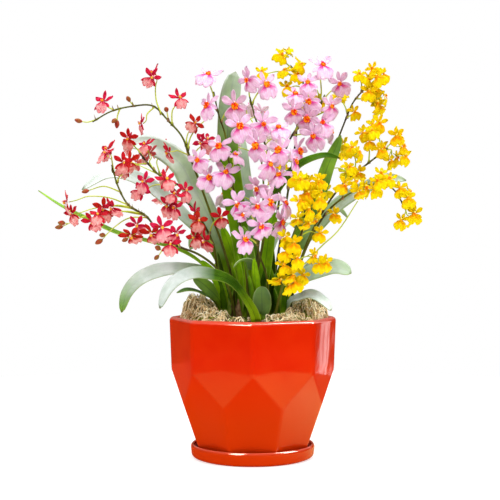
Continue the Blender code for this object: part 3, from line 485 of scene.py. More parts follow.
def bark_material(name, dark, light, scale):
    """Fibrous bark in two browns, with a grainy surface."""
    made, tree, shader = material(name)
    colour = mottle(tree, dark, light, scale, detail=6.0, low=0.3, high=0.72)["Colour"]
    inputs = {"Vector": own_place(tree), "Scale": scale * 4, "Detail": 5.0, "Roughness": 0.7}
    fibres = node(tree, "ShaderNodeTexNoise", inputs)
    bumped(tree, shader, fibres.outputs["Fac"], 0.0009)
    fill(tree, shader, {"Base Color": colour, "Roughness": 0.85})
    return made


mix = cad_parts["potting_mix"]
mix.data.materials.clear()
mix.data.materials.append(bark_material("composted_bark", BARK_DARK, BARK_DAMP, 420.0))


def rough_chip(number):
    """One of a few bark chips: a block with uneven faces, narrower toward its ends."""
    draw = random.Random(900 + number)
    size = [draw.uniform(4.5, 8.0), draw.uniform(3.0, 5.0), draw.uniform(1.3, 2.6)]
    bpy.ops.mesh.primitive_cube_add(size=MM, scale=size)
    chip = bpy.context.object
    bpy.ops.object.transform_apply(location=False, rotation=False, scale=True)
    edited(bpy.ops.mesh.subdivide, number_cuts=1)
    for vert in chip.data.vertices:
        away = noise.noise_vector(vert.co * 300 + Vector((number * 7.0, 0, 0)))
        vert.co += away * CHIP_ROUGHNESS * MM
        vert.co.xy *= 1 - 0.25 * abs(vert.co.x) / (size[0] * MM)
    return chip


def mix_height(radius):
    """The height of the mix's surface this far from the middle, in millimetres."""
    slope = (MIX_TOP_Z - MIX_EDGE_Z) / (MIX_RIM_RADIUS - MIX_TOP_RADIUS)
    return MIX_TOP_Z - max(0.0, radius - MIX_TOP_RADIUS) * slope


def copy_of(form, place, tint=None):
    """A copy of a shape with its own mesh, put in place, with its own tint on its points."""
    mesh = form.data.copy()
    mesh.transform(place)
    if tint is not None:
        values = mesh.attributes.new("tint", "FLOAT", "POINT").data
        values.foreach_set("value", [tint] * len(mesh.vertices))
    made = bpy.data.objects.new(form.name + "_copy", mesh)
    bpy.context.scene.collection.objects.link(made)
    return made


def joined(copies, name):
    """One piece from many copies."""
    bpy.ops.object.select_all(action="DESELECT")
    for piece in copies:
        piece.select_set(True)
    bpy.context.view_layer.objects.active = copies[0]
    bpy.ops.object.join()
    piece = bpy.context.object
    piece.name = name
    piece.data.name = name
    return piece


def scrap(forms):
    """Clears away the forms that only copies were made of."""
    for form in forms:
        bpy.data.objects.remove(form, do_unlink=True)


def turned_to(place, spin, tilt, lean):
    """A place in millimetres, with a turn about each axis."""
    turns = Matrix.Rotation(spin, 4, "Z") @ Matrix.Rotation(tilt, 4, "X")
    return Matrix.Translation(Vector(place) * MM) @ turns @ Matrix.Rotation(lean, 4, "Y")


noise.seed_set(CHIP_NOISE_SEED)
chip_forms = [rough_chip(number) for number in range(CHIP_FORMS)]
chip_draw = random.Random(41)
chips = []
for _ in range(CHIP_COUNT):
    radius = CHIPS_REACH * math.sqrt(chip_draw.random())
    angle = chip_draw.uniform(0, math.tau)
    height = mix_height(radius) + CHIP_LIFT
    place = (radius * math.cos(angle), radius * math.sin(angle), height)
    spin = chip_draw.uniform(0, math.tau)
    tilt, lean = (chip_draw.uniform(-CHIP_TILT, CHIP_TILT) for _ in range(2))
    turn = turned_to(place, spin, tilt, lean)
    chips.append(copy_of(chip_draw.choice(chip_forms), turn))
bark = joined(chips, "bark_chips")
scrap(chip_forms)
bark.data.materials.clear()
bark.data.materials.append(bark_material("bark_chip", BARK_DARK, BARK_LIGHT, 300.0))
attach(bark, "root")

# The moss
# Dried sphagnum, laid by hand round the plants and heaped at both sides of the pot. Curly
# pale strands lie over a bed of the same moss, painted dark as the shade in the gaps
# between the strands, with some green left in the middle.
MOSS_INNER_RADIUS = 44.0
MOSS_OUTER_APOTHEM = 70.3
MOSS_HEIGHT = 9.0
MOSS_SIDE_HEAP = 15.0
MOSS_FRONT_DIP = 4.0
MOSS_LUMPINESS = 0.35
MOSS_WAVES = ((5, 1.7, 0.30), (9, 3.1, 0.22), (14, 0.4, 0.20), (3, 5.0, 0.18))
MOSS_GAP = 0.5
MOSS_ROUGHNESS = ((0.055, 5.0), (0.15, 4.0), (0.4, 1.6))
MOSS_BED_DEPTH = 1.8
STRAND_DEPTH = 0.8
STRAND_POINTS = 9
INNER_STRAND_POINTS = 7
INNER_STRAND_STEP = 1.7
# The front leaf parts the moss: the angle and half width of the gap, the part of the ring
# that strands stay out of, in x and from y forward, and the part beside it, where only one
# pale strand in four is left, so that the dark bed shows.
MOSS_PARTING = (0.05, 0.13)
PARTING_SIDES = (-5.5, 11.5)
PARTING_BACK = -36
SPARSE_SIDES = (-25, -4)
SPARSE_BACK = -30
SPARSE_SHARE = 4


def moss_edges(angle):
    """The middle of the ring and half its width, in the direction of this angle."""
    eighth = math.tau / POT_RIDGES
    outer = MOSS_OUTER_APOTHEM / math.cos((angle % eighth) - eighth / 2)
    return (outer + MOSS_INNER_RADIUS) / 2, (outer - MOSS_INNER_RADIUS) / 2


def moss_lumps(angle, share):
    """The lumps along and across the ring, as a share of its height."""
    total = 0.0
    for turns, start, size in MOSS_WAVES:
        total += size * math.sin(turns * angle + start + share * turns * 1.3)
    return total


def moss_rise(angle, share):
    """The thickness of the moss, by its angle from the front and share across the ring."""
    side = abs(math.sin(angle)) ** 3
    front = max(0.0, math.cos(angle)) ** 2
    height = MOSS_HEIGHT + MOSS_SIDE_HEAP * side - MOSS_FRONT_DIP * front
    gentle = 0.35 + (0.5 * max(0.0, -math.sin(angle)) if share > 0 else 0)
    rounding = max(0.0, 1 - share * share) ** gentle
    around, wide = MOSS_PARTING
    height *= 1 - 0.9 * math.exp(-((math.remainder(angle, math.tau) - around) / wide) ** 4)
    return height * rounding * (1 + MOSS_LUMPINESS * moss_lumps(angle, share))


def moss_foot(angle, share):
    """A point on the underside of the moss, in millimetres."""
    middle, half = moss_edges(angle)
    radius = middle + half * share
    low = mix_height(radius) + MOSS_GAP
    return Vector((radius * math.sin(angle), -radius * math.cos(angle), low))


def moss_place(angle, share, above):
    """A point on the moss, in millimetres, and this much above its surface."""
    place = moss_foot(angle, share)
    low = place.z
    place.z += moss_rise(angle, share)
    rough = sum(size * noise.noise(place * scale) for scale, size in MOSS_ROUGHNESS)
    if abs(math.remainder(angle, math.tau) - MOSS_PARTING[0]) < MOSS_PARTING[1]:
        rough = min(rough, 0.0)
    place.z = max(low, place.z + rough * min(1.0, 1.6 - 1.5 * abs(share)) + above)
    return place


def moss_bed():
    """A ring whose section follows the moss's lumps, roughened all over."""
    bpy.ops.mesh.primitive_torus_add(
        major_segments=180, minor_segments=24, major_radius=2, minor_radius=1
    )
    bed = bpy.context.object
    bed.name = "moss_bed"
    for vert in bed.data.vertices:
        x, y, z = vert.co
        angle = math.atan2(x, -y)
        section = math.atan2(z, math.hypot(x, y) - 2)
        share = 0.97 * math.cos(section)
        if section > 1e-6:
            place = moss_place(angle, share, -MOSS_BED_DEPTH)
        else:
            place = moss_foot(angle, share)
        vert.co = place * MM
    face_outward()
    return bed


def tubes(name, routes, resolution):
    """One mesh of round strands, each along its own points with a radius at each point."""
    curve = bpy.data.curves.new(name, "CURVE")
    curve.dimensions = "3D"
    curve.bevel_depth = MM
    curve.bevel_resolution = resolution
    curve.use_fill_caps = True
    for points, radii in routes:
        spline = curve.splines.new("POLY")
        spline.points.add(len(points) - 1)
        for spot, point, radius in zip(spline.points, points, radii):
            spot.co = (*(point * MM), 1)
            spot.radius = radius
    made = bpy.data.objects.new(name, curve)
    bpy.context.scene.collection.objects.link(made)
    take_up(made)
    bpy.ops.object.convert(target="MESH")
    edited(bpy.ops.mesh.remove_doubles, threshold=0.01 * MM)
    bpy.ops.object.shade_smooth()
    return bpy.context.object


def moss_strand(draw, thick, lift):
    """A curly strand that wanders over the moss and lifts off it here and there."""
    angle = draw.uniform(0, math.tau)
    outer = draw.random() < 0.34
    share = draw.uniform(0.8, 0.985) if outer else draw.uniform(-0.9, 0.86)
    heading = draw.uniform(-0.5, 0.5) if outer else draw.uniform(0, math.tau)
    curl = draw.uniform(-0.2, 0.2) if outer else draw.uniform(-0.8, 0.8)
    step = draw.uniform(1.0, 2.0)
    lift *= draw.random() ** 2
    thick *= draw.uniform(0.5, 1.2)
    points = []
    radii = []
    for i in range(STRAND_POINTS):
        arch = math.sin(math.pi * i / (STRAND_POINTS - 1))
        points.append(moss_place(angle, share, -STRAND_DEPTH + lift * arch))
        radii.append(thick * (0.5 + 0.5 * arch))
        _, half = moss_edges(angle)
        heading += curl + draw.uniform(-0.45, 0.45)
        inward = step * math.sin(heading) / half * min(1.0, max(0.12, 4 * (1.02 - share)))
        if not -0.95 < share + inward < 0.99:
            heading, inward = -heading, 0
        angle += step * math.cos(heading) / 58
        share += inward
    return points, radii


def in_parting(points):
    """Whether a strand crosses the gap in the moss where the front leaf comes through."""
    left, right = PARTING_SIDES
    return any(left < point.x < right and point.y < PARTING_BACK for point in points)


def in_sparse_part(point):
    """Whether a point lies in the moss to the left of the front leaf, where the pale strands are thinned
    out.
    """
    left, right = SPARSE_SIDES
    return left < point.x < right and point.y < SPARSE_BACK


def inner_strand(draw, inner, outer, thick, lift):
    """A strand that lies on the mix between the plants."""
    radius = draw.uniform(inner**2, outer**2) ** 0.5
    angle = draw.uniform(0, math.tau)
    x, y = radius * math.cos(angle), radius * math.sin(angle)
    heading = draw.uniform(0, math.tau)
    curl = draw.uniform(-0.9, 0.9)
    lift *= draw.uniform(0.2, 1.0)
    points = []
    radii = []
    for i in range(INNER_STRAND_POINTS):
        arch = math.sin(math.pi * i / (INNER_STRAND_POINTS - 1))
        points.append(Vector((x, y, MIX_TOP_Z + 0.6 + lift * arch)))
        radii.append(thick * (0.5 + 0.5 * arch))
        heading += curl + draw.uniform(-0.4, 0.4)
        x += INNER_STRAND_STEP * math.cos(heading)
        y += INNER_STRAND_STEP * math.sin(heading)
    return points, radii


def moss_material(name, dark, middle, pale, scale):
    """Dry moss in three shades, from its shadowed bed to the bleached strands."""
    made, tree, shader = material(name)
    warm = mottle(tree, dark, middle, scale, detail=2.0, low=0.36, high=0.5)["Colour"]
    bleached = mottle(tree, BLACK, WHITE, scale * 1.7, detail=2.0, low=0.45, high=0.6)["Mask"]
    bumped(tree, shader, noisy(tree, own_place(tree), 1400.0), 0.0004)
    fill(tree, shader, {
        "Base Color": mixed(tree, bleached, warm, pale),
        "Roughness": 0.9,
        "Specular IOR Level": 0.15,
    })
    return made


moss = moss_bed()
# The bed's dark browns are painted shade, for the gaps between the strands.
moss.data.materials.append(
    moss_material("moss_shadow", (0.030, 0.030, 0.008), (0.10, 0.075, 0.028),
                  (0.24, 0.17, 0.085), 260.0)
)
bpy.ops.object.shade_smooth()
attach(moss, "root")
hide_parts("moss")

# Each kind of strand: how many on the ring and between the plants, its half thickness and
# lift in millimetres, its three shades and the scale of their patches.
MOSS_STRANDS = {
    "pale": (1250, 260, 0.58, 5.0, (0.66, 0.46, 0.20), (0.94, 0.78, 0.46),
             (1.0, 0.94, 0.68), 150.0),
    "tan": (800, 260, 0.5, 4.5, (0.30, 0.18, 0.06), (0.64, 0.45, 0.20),
            (0.90, 0.72, 0.40), 170.0),
    "olive": (420, 180, 0.5, 4.0, (0.035, 0.045, 0.004), (0.12, 0.15, 0.012),
              (0.30, 0.30, 0.07), 170.0),
    "green": (60, 520, 0.6, 3.5, (0.022, 0.030, 0.002), (0.080, 0.125, 0.006),
              (0.24, 0.36, 0.01), 120.0),
}
# Between the plants they lie this far from the middle, the green ones also between the feet.
MOSS_INNER_REACH = (30, 47)
GREEN_INNER_REACH = (0, 46)
strand_draw = random.Random(42)
for name, (ring, between, thick, lift, dark, middle, pale, scale) in MOSS_STRANDS.items():
    reach = GREEN_INNER_REACH if name == "green" else MOSS_INNER_REACH
    routes = [moss_strand(strand_draw, thick, lift) for _ in range(ring)]
    routes += [inner_strand(strand_draw, *reach, thick, lift) for _ in range(between)]
    routes = [route for route in routes if not in_parting(route[0])]
    if name in ("pale", "tan"):
        routes = [
            route for i, route in enumerate(routes)
            if i % SPARSE_SHARE == 0 or not in_sparse_part(route[0][STRAND_POINTS // 2])
        ]
    strands = tubes(f"moss_strands_{name}", routes, 0)
    strands.data.materials.append(
        moss_material(f"moss_strands_{name}", dark, middle, pale, scale)
    )
    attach(strands, "root")

# The leafy shoots
# Each plant's shoots are a ribbed pseudobulb in papery sheaths and a fan of strap leaves,
# folded at the foot and open above. A pale wax lies on the leaves, painted paler where a face
# looks up as a painted sheen of the light from above.
EYE_DISTANCE = 1220.0
EYE_HEIGHT = 227.0
LEAF_STEPS = 66
LEAF_FOOT_WIDTH = 0.34
LEAF_BROADEST = 0.62
LEAF_FOLD = 0.22
LEAF_THICKNESS = 0.75
LEAF_CELLS_ACROSS = 8
LEAF_CELLS_ALONG = 44
BULB_HALF_WIDTH = 7.0
BULB_FLATNESS = 0.66
BULB_RIBS = 9
BULB_RIB_DEPTH = 0.05
BULB_NARROWING = 0.42
SHEATH_CELLS = (6, 8)
SHEATH_THICKNESS = 0.35
SHEATHS = 2
YOUNG_LEAVES = 4
YOUNG_LEAF_STEPS = 24
YOUNG_LEAF_CELLS = (6, 18)
ROOTS = 4
ROOT_STEPS = 8
# A shoot is its foot on the mix (x, depth), the height of its pseudobulb or 0, and its
# leaves. A leaf is its width, the way its upper face looks, its wax and painted sheen from 0
# to 1 and the share of its length where that starts, its yellow-green from 0 to 1, set partly
# as painted light through the leaf and painted shade, and the places that it passes (x,
# height, depth), in millimetres, as they show from the front.
SHOOTS = {
    "shoot_red_front": {
        "foot": (-27, -5), "bulb": 26,
        "leaves": [
            (14, (0, -1, 0.9), 0.94, 0.34, 0.4,
             [(-31, 166, -8), (-42, 185, -14), (-64, 193, -22), (-90, 192, -30), (-112, 184, -36),
              (-126, 169, -40), (-132, 148, -42)]),
            (13, (-0.2, -1, 0.5), 0.1, 0.3, 0.5,
             [(-33, 156, -12), (-46, 170, -16), (-60, 180, -18)]),
            (10, (-0.1, -1, 0.3), 0.0, 0.3, 1.0,
             [(-29, 160, -12), (-36, 178, -18), (-52, 197, -20)]),
            (8, (0, -0.5, 1), 0.05, 0.3, 0.05,
             [(-38, 157, -14), (-52, 166, -24), (-66, 169, -32), (-77, 166, -37)]),
            (7, (0.4, -0.6, 1), 0.05, 0.3, 1.0,
             [(-37, 170, -1), (-50, 192, -5), (-75, 208, -10), (-105, 216, -16), (-136, 224, -22),
              (-165, 238, -26), (-193, 252, -28), (-217, 268, -28)]),
        ],
    },
    "shoot_red_back": {
        "foot": (-24, 20), "bulb": 30,
        "leaves": [
            (23, (-0.5, -1, 0.6), 1.0, 0.25, 0.5,
             [(-25, 190, 22), (-38, 232, 26), (-49, 258, 28), (-60, 277, 30), (-70, 297, 32),
              (-86, 311, 34), (-108, 320, 36), (-130, 318, 38)]),
            (14, (0, -1, 0.9), 1.0, 0.3, 0.5,
             [(-30, 186, 26), (-48, 219, 34), (-66, 238, 42), (-88, 259, 46), (-108, 274, 48),
              (-128, 282, 50), (-148, 281, 50), (-173, 265, 50)]),
            (16, (0.4, -0.1, 0.9), 0.6, 0.3, 0.5,
             [(-32, 186, 38), (-39, 212, 58), (-47, 224, 82), (-57, 220, 106), (-63, 206, 118)]),
        ],
    },
    "shoot_pink_tall": {
        "foot": (-10, 7), "bulb": 30,
        "leaves": [
            (22, (0.15, -1, 0.1), 0.82, 0.66, 0.3,
             [(-10, 190, 12), (-14, 226, 16), (-20, 262, 18), (-25, 306, 18), (-24, 346, 18),
              (-20, 371, 18), (-16, 385, 18)]),
            (12, (-0.4, -1, 0.1), 0.0, 0.3, 0.8,
             [(-14, 180, 12), (-22, 208, 16), (-31, 232, 18)]),
        ],
    },
    "shoot_pink_middle": {
        "foot": (7, -12), "bulb": 24,
        "leaves": [
            (13, (0.1, -1, 0.1), 0.0, 0.3, 0.6,
             [(11, 180, -14), (14, 205, -18), (17, 225, -20), (23, 246, -22)]),
            (9, (0.1, 0.6, 0.8), 0.35, 0.3, 0.6,
             [(0, 172, -18), (-1, 188, -24), (-4, 196, -32), (-12, 196, -42), (-20, 189, -50)]),
            (12, (-0.3, -1, 0.1), 0.1, 0.3, 0.45,
             [(1, 176, -12), (-4, 206, -14), (-10, 232, -16)]),
        ],
    },
    "shoot_pink_back": {
        "foot": (3, 31), "bulb": 28,
        "leaves": [
            (17, (0.1, -1, 0.5), 0.5, 0.3, 0.35,
             [(2, 190, 42), (-4, 240, 60), (-10, 285, 80), (-14, 318, 104), (-16, 330, 124)]),
            (15, (-0.2, -0.5, 0.9), 0.5, 0.3, 0.35,
             [(8, 180, 46), (20, 218, 70), (34, 234, 98), (46, 226, 120)]),
            (15, (0.1, -0.5, 0.9), 0.5, 0.3, 0.35,
             [(-2, 176, 48), (-8, 202, 74), (-14, 210, 100), (-20, 200, 120)]),
        ],
    },
    "shoot_yellow_tall": {
        "foot": (23, 3), "bulb": 28,
        "leaves": [
            (14, (0.2, -1, 0.5), 0.7, 0.35, 0.4,
             [(25, 172, 0), (33, 194, -4), (48, 214, -6), (65, 232, -7), (80, 248, -8), (99, 262, -8),
              (118, 272, -8), (136, 279, -8), (156, 276, -8)]),
            (10, (-0.5, -1, 0.5), 0.0, 0.3, 0.05,
             [(20, 190, -2), (16, 226, -6), (20, 256, -9), (27, 271, -12), (39, 285, -14), (51, 295, -16),
              (72, 302, -18), (90, 298, -20)]),
            (15, (0.2, -1, 0.1), 0.1, 0.3, 0.6,
             [(29, 172, 6), (42, 208, 8), (56, 240, 10), (66, 264, 10), (75, 291, 10), (82, 307, 10),
              (89, 324, 10)]),
        ],
    },
    "shoot_yellow_front": {
        "foot": (28, -21), "bulb": 22,
        "leaves": [
            (17, (0, -1, 0.9), 0.52, 0.2, 0.4,
             [(34, 166, -26), (45, 180, -32), (61, 189, -38), (82, 194, -43), (100, 188, -47)]),
            (13, (0, -0.7, 1), 0.95, 0.1, 0.4,
             [(38, 158, -30), (48, 166, -38), (60, 168, -44), (72, 161, -48), (79, 152, -50)]),
        ],
    },
    "shoot_front": {
        "foot": (5, -33), "bulb": 0,
        "leaves": [
            (13, (-0.2, -1, 0.8), 1.0, 0.48, 0.0,
             [(0, 155, -36), (-8, 168, -42), (-20, 178, -48), (-38, 185, -54), (-58, 188, -60),
              (-74, 182, -64), (-86, 170, -67), (-94, 151, -69)]),
            (18, (0.1, -1, 0), 0.22, 0.1, 0.15,
             [(9, 146, -38), (9, 158, -41), (9, 171, -43)]),
        ],
    },
    "shoot_yellow_back": {
        "foot": (24, 26), "bulb": 26,
        "leaves": [
            (16, (-0.3, -0.5, 0.8), 0.5, 0.3, 0.35,
             [(36, 186, 34), (51, 223, 52), (68, 244, 73), (84, 248, 96), (96, 238, 112)]),
            (14, (-0.4, -0.4, 0.8), 0.5, 0.3, 0.35,
             [(42, 170, 34), (58, 190, 48), (72, 198, 64), (84, 188, 80)]),
        ],
    },
}


def seen(x, height, depth):
    """The point at this depth that shows at x and height from the front."""
    nearer = 1 + depth / EYE_DISTANCE
    return Vector((x * nearer, depth, EYE_HEIGHT + (height - EYE_HEIGHT) * nearer))


def even_path(fine, count):
    """The same line with evenly spaced points."""
    along = [0.0]
    for a, b in zip(fine, fine[1:]):
        along.append(along[-1] + (b - a).length)
    spaced = []
    span = 0
    for i in range(count):
        target = along[-1] * i / (count - 1)
        while span < len(fine) - 2 and along[span + 1] < target:
            span += 1
        share = (target - along[span]) / max(along[span + 1] - along[span], 1e-6)
        spaced.append(fine[span].lerp(fine[span + 1], min(share, 1.0)))
    return spaced


def smooth_path(points, count):
    """Points evenly spaced along a smooth curve through the given ones."""
    ends = [2 * points[0] - points[1], *points, 2 * points[-1] - points[-2]]
    fine = []
    steps = 8
    for a, b, c, d in zip(ends, ends[1:], ends[2:], ends[3:]):
        for step in range(steps):
            t = step / steps
            bent = 2 * b + (c - a) * t + (2 * a - 5 * b + 4 * c - d) * t**2
            fine.append(0.5 * (bent + (3 * b - a - 3 * c + d) * t**3))
    fine.append(points[-1].copy())
    return even_path(fine, count)


def tangents(path):
    """The way that a line heads at each of its points."""
    before = [path[0], *path[:-1]]
    after = [*path[1:], path[-1]]
    return [(b - a).normalized() for a, b in zip(before, after)]


def across(vector, direction):
    """The part of vector that is square to direction, at unit length."""
    flat = vector - direction * vector.dot(direction)
    if flat.length < 1e-4:
        flat = direction.orthogonal()
    return flat.normalized()


def foot_of(x, depth):
    """A place on top of the mix."""
    return Vector((x, depth, MIX_TOP_Z))


def leaf_path(shoot, rank):
    """Points along the middle of a leaf, from its foot to its tip."""
    start = foot_of(*shoot["foot"]) + Vector((0.7 * rank - 0.9, 0.3, 2 + 0.6 * rank))
    places = shoot["leaves"][rank][5]
    return smooth_path([start] + [seen(*place) for place in places], LEAF_STEPS + 1)


def leaf_half_width(width, share, bluntness=2.2):
    """Half the width of a leaf at this share of its length."""
    unfolded = min(2 * share, 1.0) ** 0.9
    widening = LEAF_FOOT_WIDTH + (1 - LEAF_FOOT_WIDTH) * unfolded
    tip = max(0.0, (share - LEAF_BROADEST) / (1 - LEAF_BROADEST))
    return width / 2 * widening * math.sqrt(max(0.0, 1 - tip**bluntness))


def sheet_form(name, cells_across, cells_along, place_at, thickness):
    """A thin closed piece: a grid whose points move to place_at(u, v), u from -1 to 1 across
    and v from 0 to 1 along, then given its thickness. Its underside's faces are marked."""
    bpy.ops.mesh.primitive_grid_add(
        x_subdivisions=cells_across, y_subdivisions=cells_along, size=2
    )
    piece = bpy.context.object
    piece.name = name
    for vert in piece.data.vertices:
        vert.co = place_at(vert.co.x, (vert.co.y + 1) / 2) * MM
    applied(piece, "SOLIDIFY", "Thickness", thickness=thickness * MM, offset=0)
    cells = cells_across * cells_along
    under = piece.data.attributes.new("under", "FLOAT", "FACE").data
    for polygon in piece.data.polygons:
        under[polygon.index].value = 1.0 if cells <= polygon.index < 2 * cells else 0.0
        polygon.use_smooth = True
    return piece


def mark(piece, name, value):
    """Gives all points of a piece one value under this name."""
    values = piece.data.attributes.new(name, "FLOAT", "POINT").data
    values.foreach_set("value", [value] * len(piece.data.vertices))


# How far these leaves hang below their solids, in millimetres, and how wide they open, as a
# share of the solid's width. A third number is how blunt the tip is, where it isn't the
# width's own.
DROOPING = {
    "shoot_red_front_leaf_0": (5.5, 1.25, 1.8),
    "shoot_front_leaf_0": (4.0, 1.18, 1.7),
    "shoot_yellow_front_leaf_0": (4.6, 1.2),
    "shoot_yellow_front_leaf_1": (6.2, 1.12, 1.7),
    "shoot_red_front_leaf_3": (2.0, 1.0),
    "shoot_red_back_leaf_0": (7.0, 1.0),
    "shoot_red_back_leaf_1": (-0.5, 1.2),
    "shoot_pink_tall_leaf_0": (-3.0, 0.96, 8),
    "shoot_front_leaf_1": (0.0, 1.0, 2.1),
}
# The drooping tip of this leaf keeps its dark green without the pale wax: partly its unwaxed underside,
# partly painted shade.
GREEN_TIPPED = "shoot_red_front_leaf_0"
FRONT_LEAF = "shoot_front_leaf_0"
FRONT_LEAF_FOOT_HALF_WIDTH = 5.0
FRONT_LEAF_CLASP = 0.2
LEAF_CLASP_END = 0.22
# The front leaf comes through the moss nearer to the rim than its solid does, and its foot is
# open and broad: the places that it passes (x, height, depth).
FRONT_LEAF_WAY = [(3.2, 136, -50), (1.2, 144, -51), (-2.4, 151, -51), (-7.8, 160, -50),
                  (-13, 168, -49), (-20, 176, -49), (-30, 182.5, -51), (-42, 186.5, -55),
                  (-58, 188, -60), (-74, 182, -64), (-86, 170, -67), (-94, 151, -69)]


def leaf_blade(name, shoot, rank):
    """A strap leaf, folded where it clasps the shoot, with a sunken midrib."""
    width, face, wax_and_sheen, wax_and_sheen_from, lime, _ = shoot["leaves"][rank]
    path = leaf_path(shoot, rank)
    if name == FRONT_LEAF:
        path = smooth_path([seen(*place) for place in FRONT_LEAF_WAY], LEAF_STEPS + 1)
    heading = tangents(path)
    wave = random.Random(rank + len(path) + shoot["foot"][0]).uniform(0, math.tau)
    sag, opened, *blunt = DROOPING.get(name, (0.0, 1.0))
    blunt = blunt[0] if blunt else max(1.5, width / 5.0)

    def place_at(u, v):
        at = v * (LEAF_STEPS - 0.8)
        low = int(at)
        centre = path[low].lerp(path[low + 1], at - low)
        centre.z -= sag * min(1.0, 2 * v) ** 2
        forward = heading[low].lerp(heading[low + 1], at - low).normalized()
        upper = across(Vector(face), forward)
        side = upper.cross(forward)
        wide = width * (1 + (opened - 1) * max(-1.0, min(1.0, (v - 0.45) / 0.2)))
        half = max(leaf_half_width(wide, v, blunt), 0.35)
        clasp = max(0.0, 1 - v / LEAF_CLASP_END)
        if name == FRONT_LEAF:
            half = max(half, FRONT_LEAF_FOOT_HALF_WIDTH - 6 * v)
            clasp *= FRONT_LEAF_CLASP
        fold = LEAF_FOLD + 0.9 * clasp
        rise = fold * (abs(u) ** 1.5 * 0.7 + abs(u) * 0.3) * half
        ripple = 0.35 * math.sin(v * 17 + wave + (1.5 if u > 0 else 0)) * abs(u) * (v > 0.2)
        midrib = -0.35 * max(0.0, 1 - abs(u) * 5) * (1 - v)
        return centre + side * half * u * (1 - 0.25 * clasp) + upper * (rise + ripple + midrib)

    blade = sheet_form(name, LEAF_CELLS_ACROSS, LEAF_CELLS_ALONG, place_at, LEAF_THICKNESS)
    mark(blade, "wax_and_sheen", wax_and_sheen)
    mark(blade, "wax_and_sheen_from", wax_and_sheen_from)
    mark(blade, "green_tip", float(name == GREEN_TIPPED))
    mark(blade, "lime", lime)
    return blade


def bulb_form(name, foot, height):
    """A flattened egg with shallow ribs, narrower toward its top."""
    bpy.ops.mesh.primitive_uv_sphere_add(segments=28, ring_count=14, radius=1)
    bulb = bpy.context.object
    bulb.name = name
    for vert in bulb.data.vertices:
        x, y, z = vert.co
        share = (z + 1) / 2
        ribs = math.cos(BULB_RIBS * math.atan2(y, x))
        rib = 1 + BULB_RIB_DEPTH * ribs * math.sin(math.pi * share)
        wide = BULB_HALF_WIDTH * rib * (1 - BULB_NARROWING * share)
        place = Vector((x * wide, y * wide * BULB_FLATNESS, share * (height + 1) - 1))
        vert.co = (foot + place) * MM
    bpy.ops.object.shade_smooth()
    return bulb


def sheath_form(name, foot, height, turn):
    """A dry papery sheath round one side of a pseudobulb, torn to a point."""

    def place_at(u, v):
        angle = turn + u * 1.15 * (1 - 0.75 * v)
        out = 1.5 + BULB_HALF_WIDTH * (1 - 0.35 * v) + 0.7 * math.sin(6 * v + u)
        round_it = (math.cos(angle) * out, math.sin(angle) * out * 0.75)
        return foot + Vector((*round_it, -1 + v * height))

    return sheet_form(name, *SHEATH_CELLS, place_at, SHEATH_THICKNESS)


def young_leaf(name, foot, draw):
    """A short folded leaf that clasps the foot of a shoot."""
    turn = draw.uniform(0, math.tau)
    out = Vector((math.cos(turn), math.sin(turn), 0))
    start = foot + out * draw.uniform(3, 8) + Vector((0, 0, 1))
    tall = draw.uniform(30, 74)
    lean = draw.uniform(0.06, 0.24)
    waist = start + Vector((0, 0, tall * 0.4)) + out * tall * lean * 0.2
    tip = start + Vector((0, 0, tall)) + out * tall * lean
    path = smooth_path([start, waist, tip], YOUNG_LEAF_STEPS + 1)
    width = draw.uniform(6.5, 10.5)
    side = Vector((-out.y, out.x, 0))

    def place_at(u, v):
        at = v * (YOUNG_LEAF_STEPS - 0.1)
        centre = path[int(at)].lerp(path[int(at) + 1], at - int(at))
        half = width / 2 * math.sqrt(max(0.0, 1 - max(0.0, (v - 0.35) / 0.65) ** 1.8))
        fold = 0.75 * (1 - 0.6 * v)
        return centre + side * max(half, 0.3) * u - out * fold * half * abs(u) ** 1.3

    blade = sheet_form(name, *YOUNG_LEAF_CELLS, place_at, LEAF_THICKNESS)
    mark(blade, "wax_and_sheen", draw.choice((0.0, 0.0, 0.15)))
    mark(blade, "wax_and_sheen_from", 0.3)
    mark(blade, "lime", draw.choice((0.0, 0.3, 0.8, 1.0)))
    return blade


def root_route(draw, foot):
    """A plump root that comes over the mix and turns down into it."""
    heading = draw.uniform(0, math.tau)
    reach = draw.uniform(14, 22)
    points = []
    radii = []
    for i in range(ROOT_STEPS + 1):
        t = i / ROOT_STEPS
        heading += draw.uniform(-0.25, 0.25)
        out = Vector((math.cos(heading), math.sin(heading), 0)) * (4 + reach * t)
        points.append(foot + out + Vector((0, 0, 2.4 - 0.8 * t - 5.5 * t**3)))
        radii.append(1.25 - 0.35 * t)
    return points, radii


def stripe_group():
    """Fine lines along a piece, spread over its width, from its own map."""
    inputs = {"Count": 20.0, "Width": 0.35, "Wander": 0.4}
    tree, start, end = group("Stripes", inputs, dict.fromkeys(("Mask", "Across", "Along"), FLOAT))
    place = node(tree, "ShaderNodeUVMap", uv_map="UVMap").outputs["UV"]
    parts = parts_of(tree, place)
    spread = maths(tree, "MULTIPLY", parts["X"], start["Count"])
    bent = maths(tree, "MULTIPLY_ADD", noisy(tree, place, 5.0, 1.0), start["Wander"], spread)
    lines = ranged(tree, maths(tree, "PINGPONG", bent, 0.5), start["Width"], 0.0)
    off_middle = maths(tree, "ABSOLUTE", maths(tree, "SUBTRACT", parts["X"], 0.5))
    across_it = maths(tree, "MULTIPLY", off_middle, 2.0)
    fill(tree, end, {"Mask": lines, "Across": across_it, "Along": parts["Y"]})
    return tree


STRIPES = stripe_group()


def stripes(tree, count, width, wander):
    """The mask of the lines, and the place across from the middle and along the piece."""
    inputs = {"Count": count, "Width": width, "Wander": wander}
    return node(tree, "ShaderNodeGroup", inputs, node_tree=STRIPES).outputs


def times(tree, a, b):
    return maths(tree, "MULTIPLY", a, b)


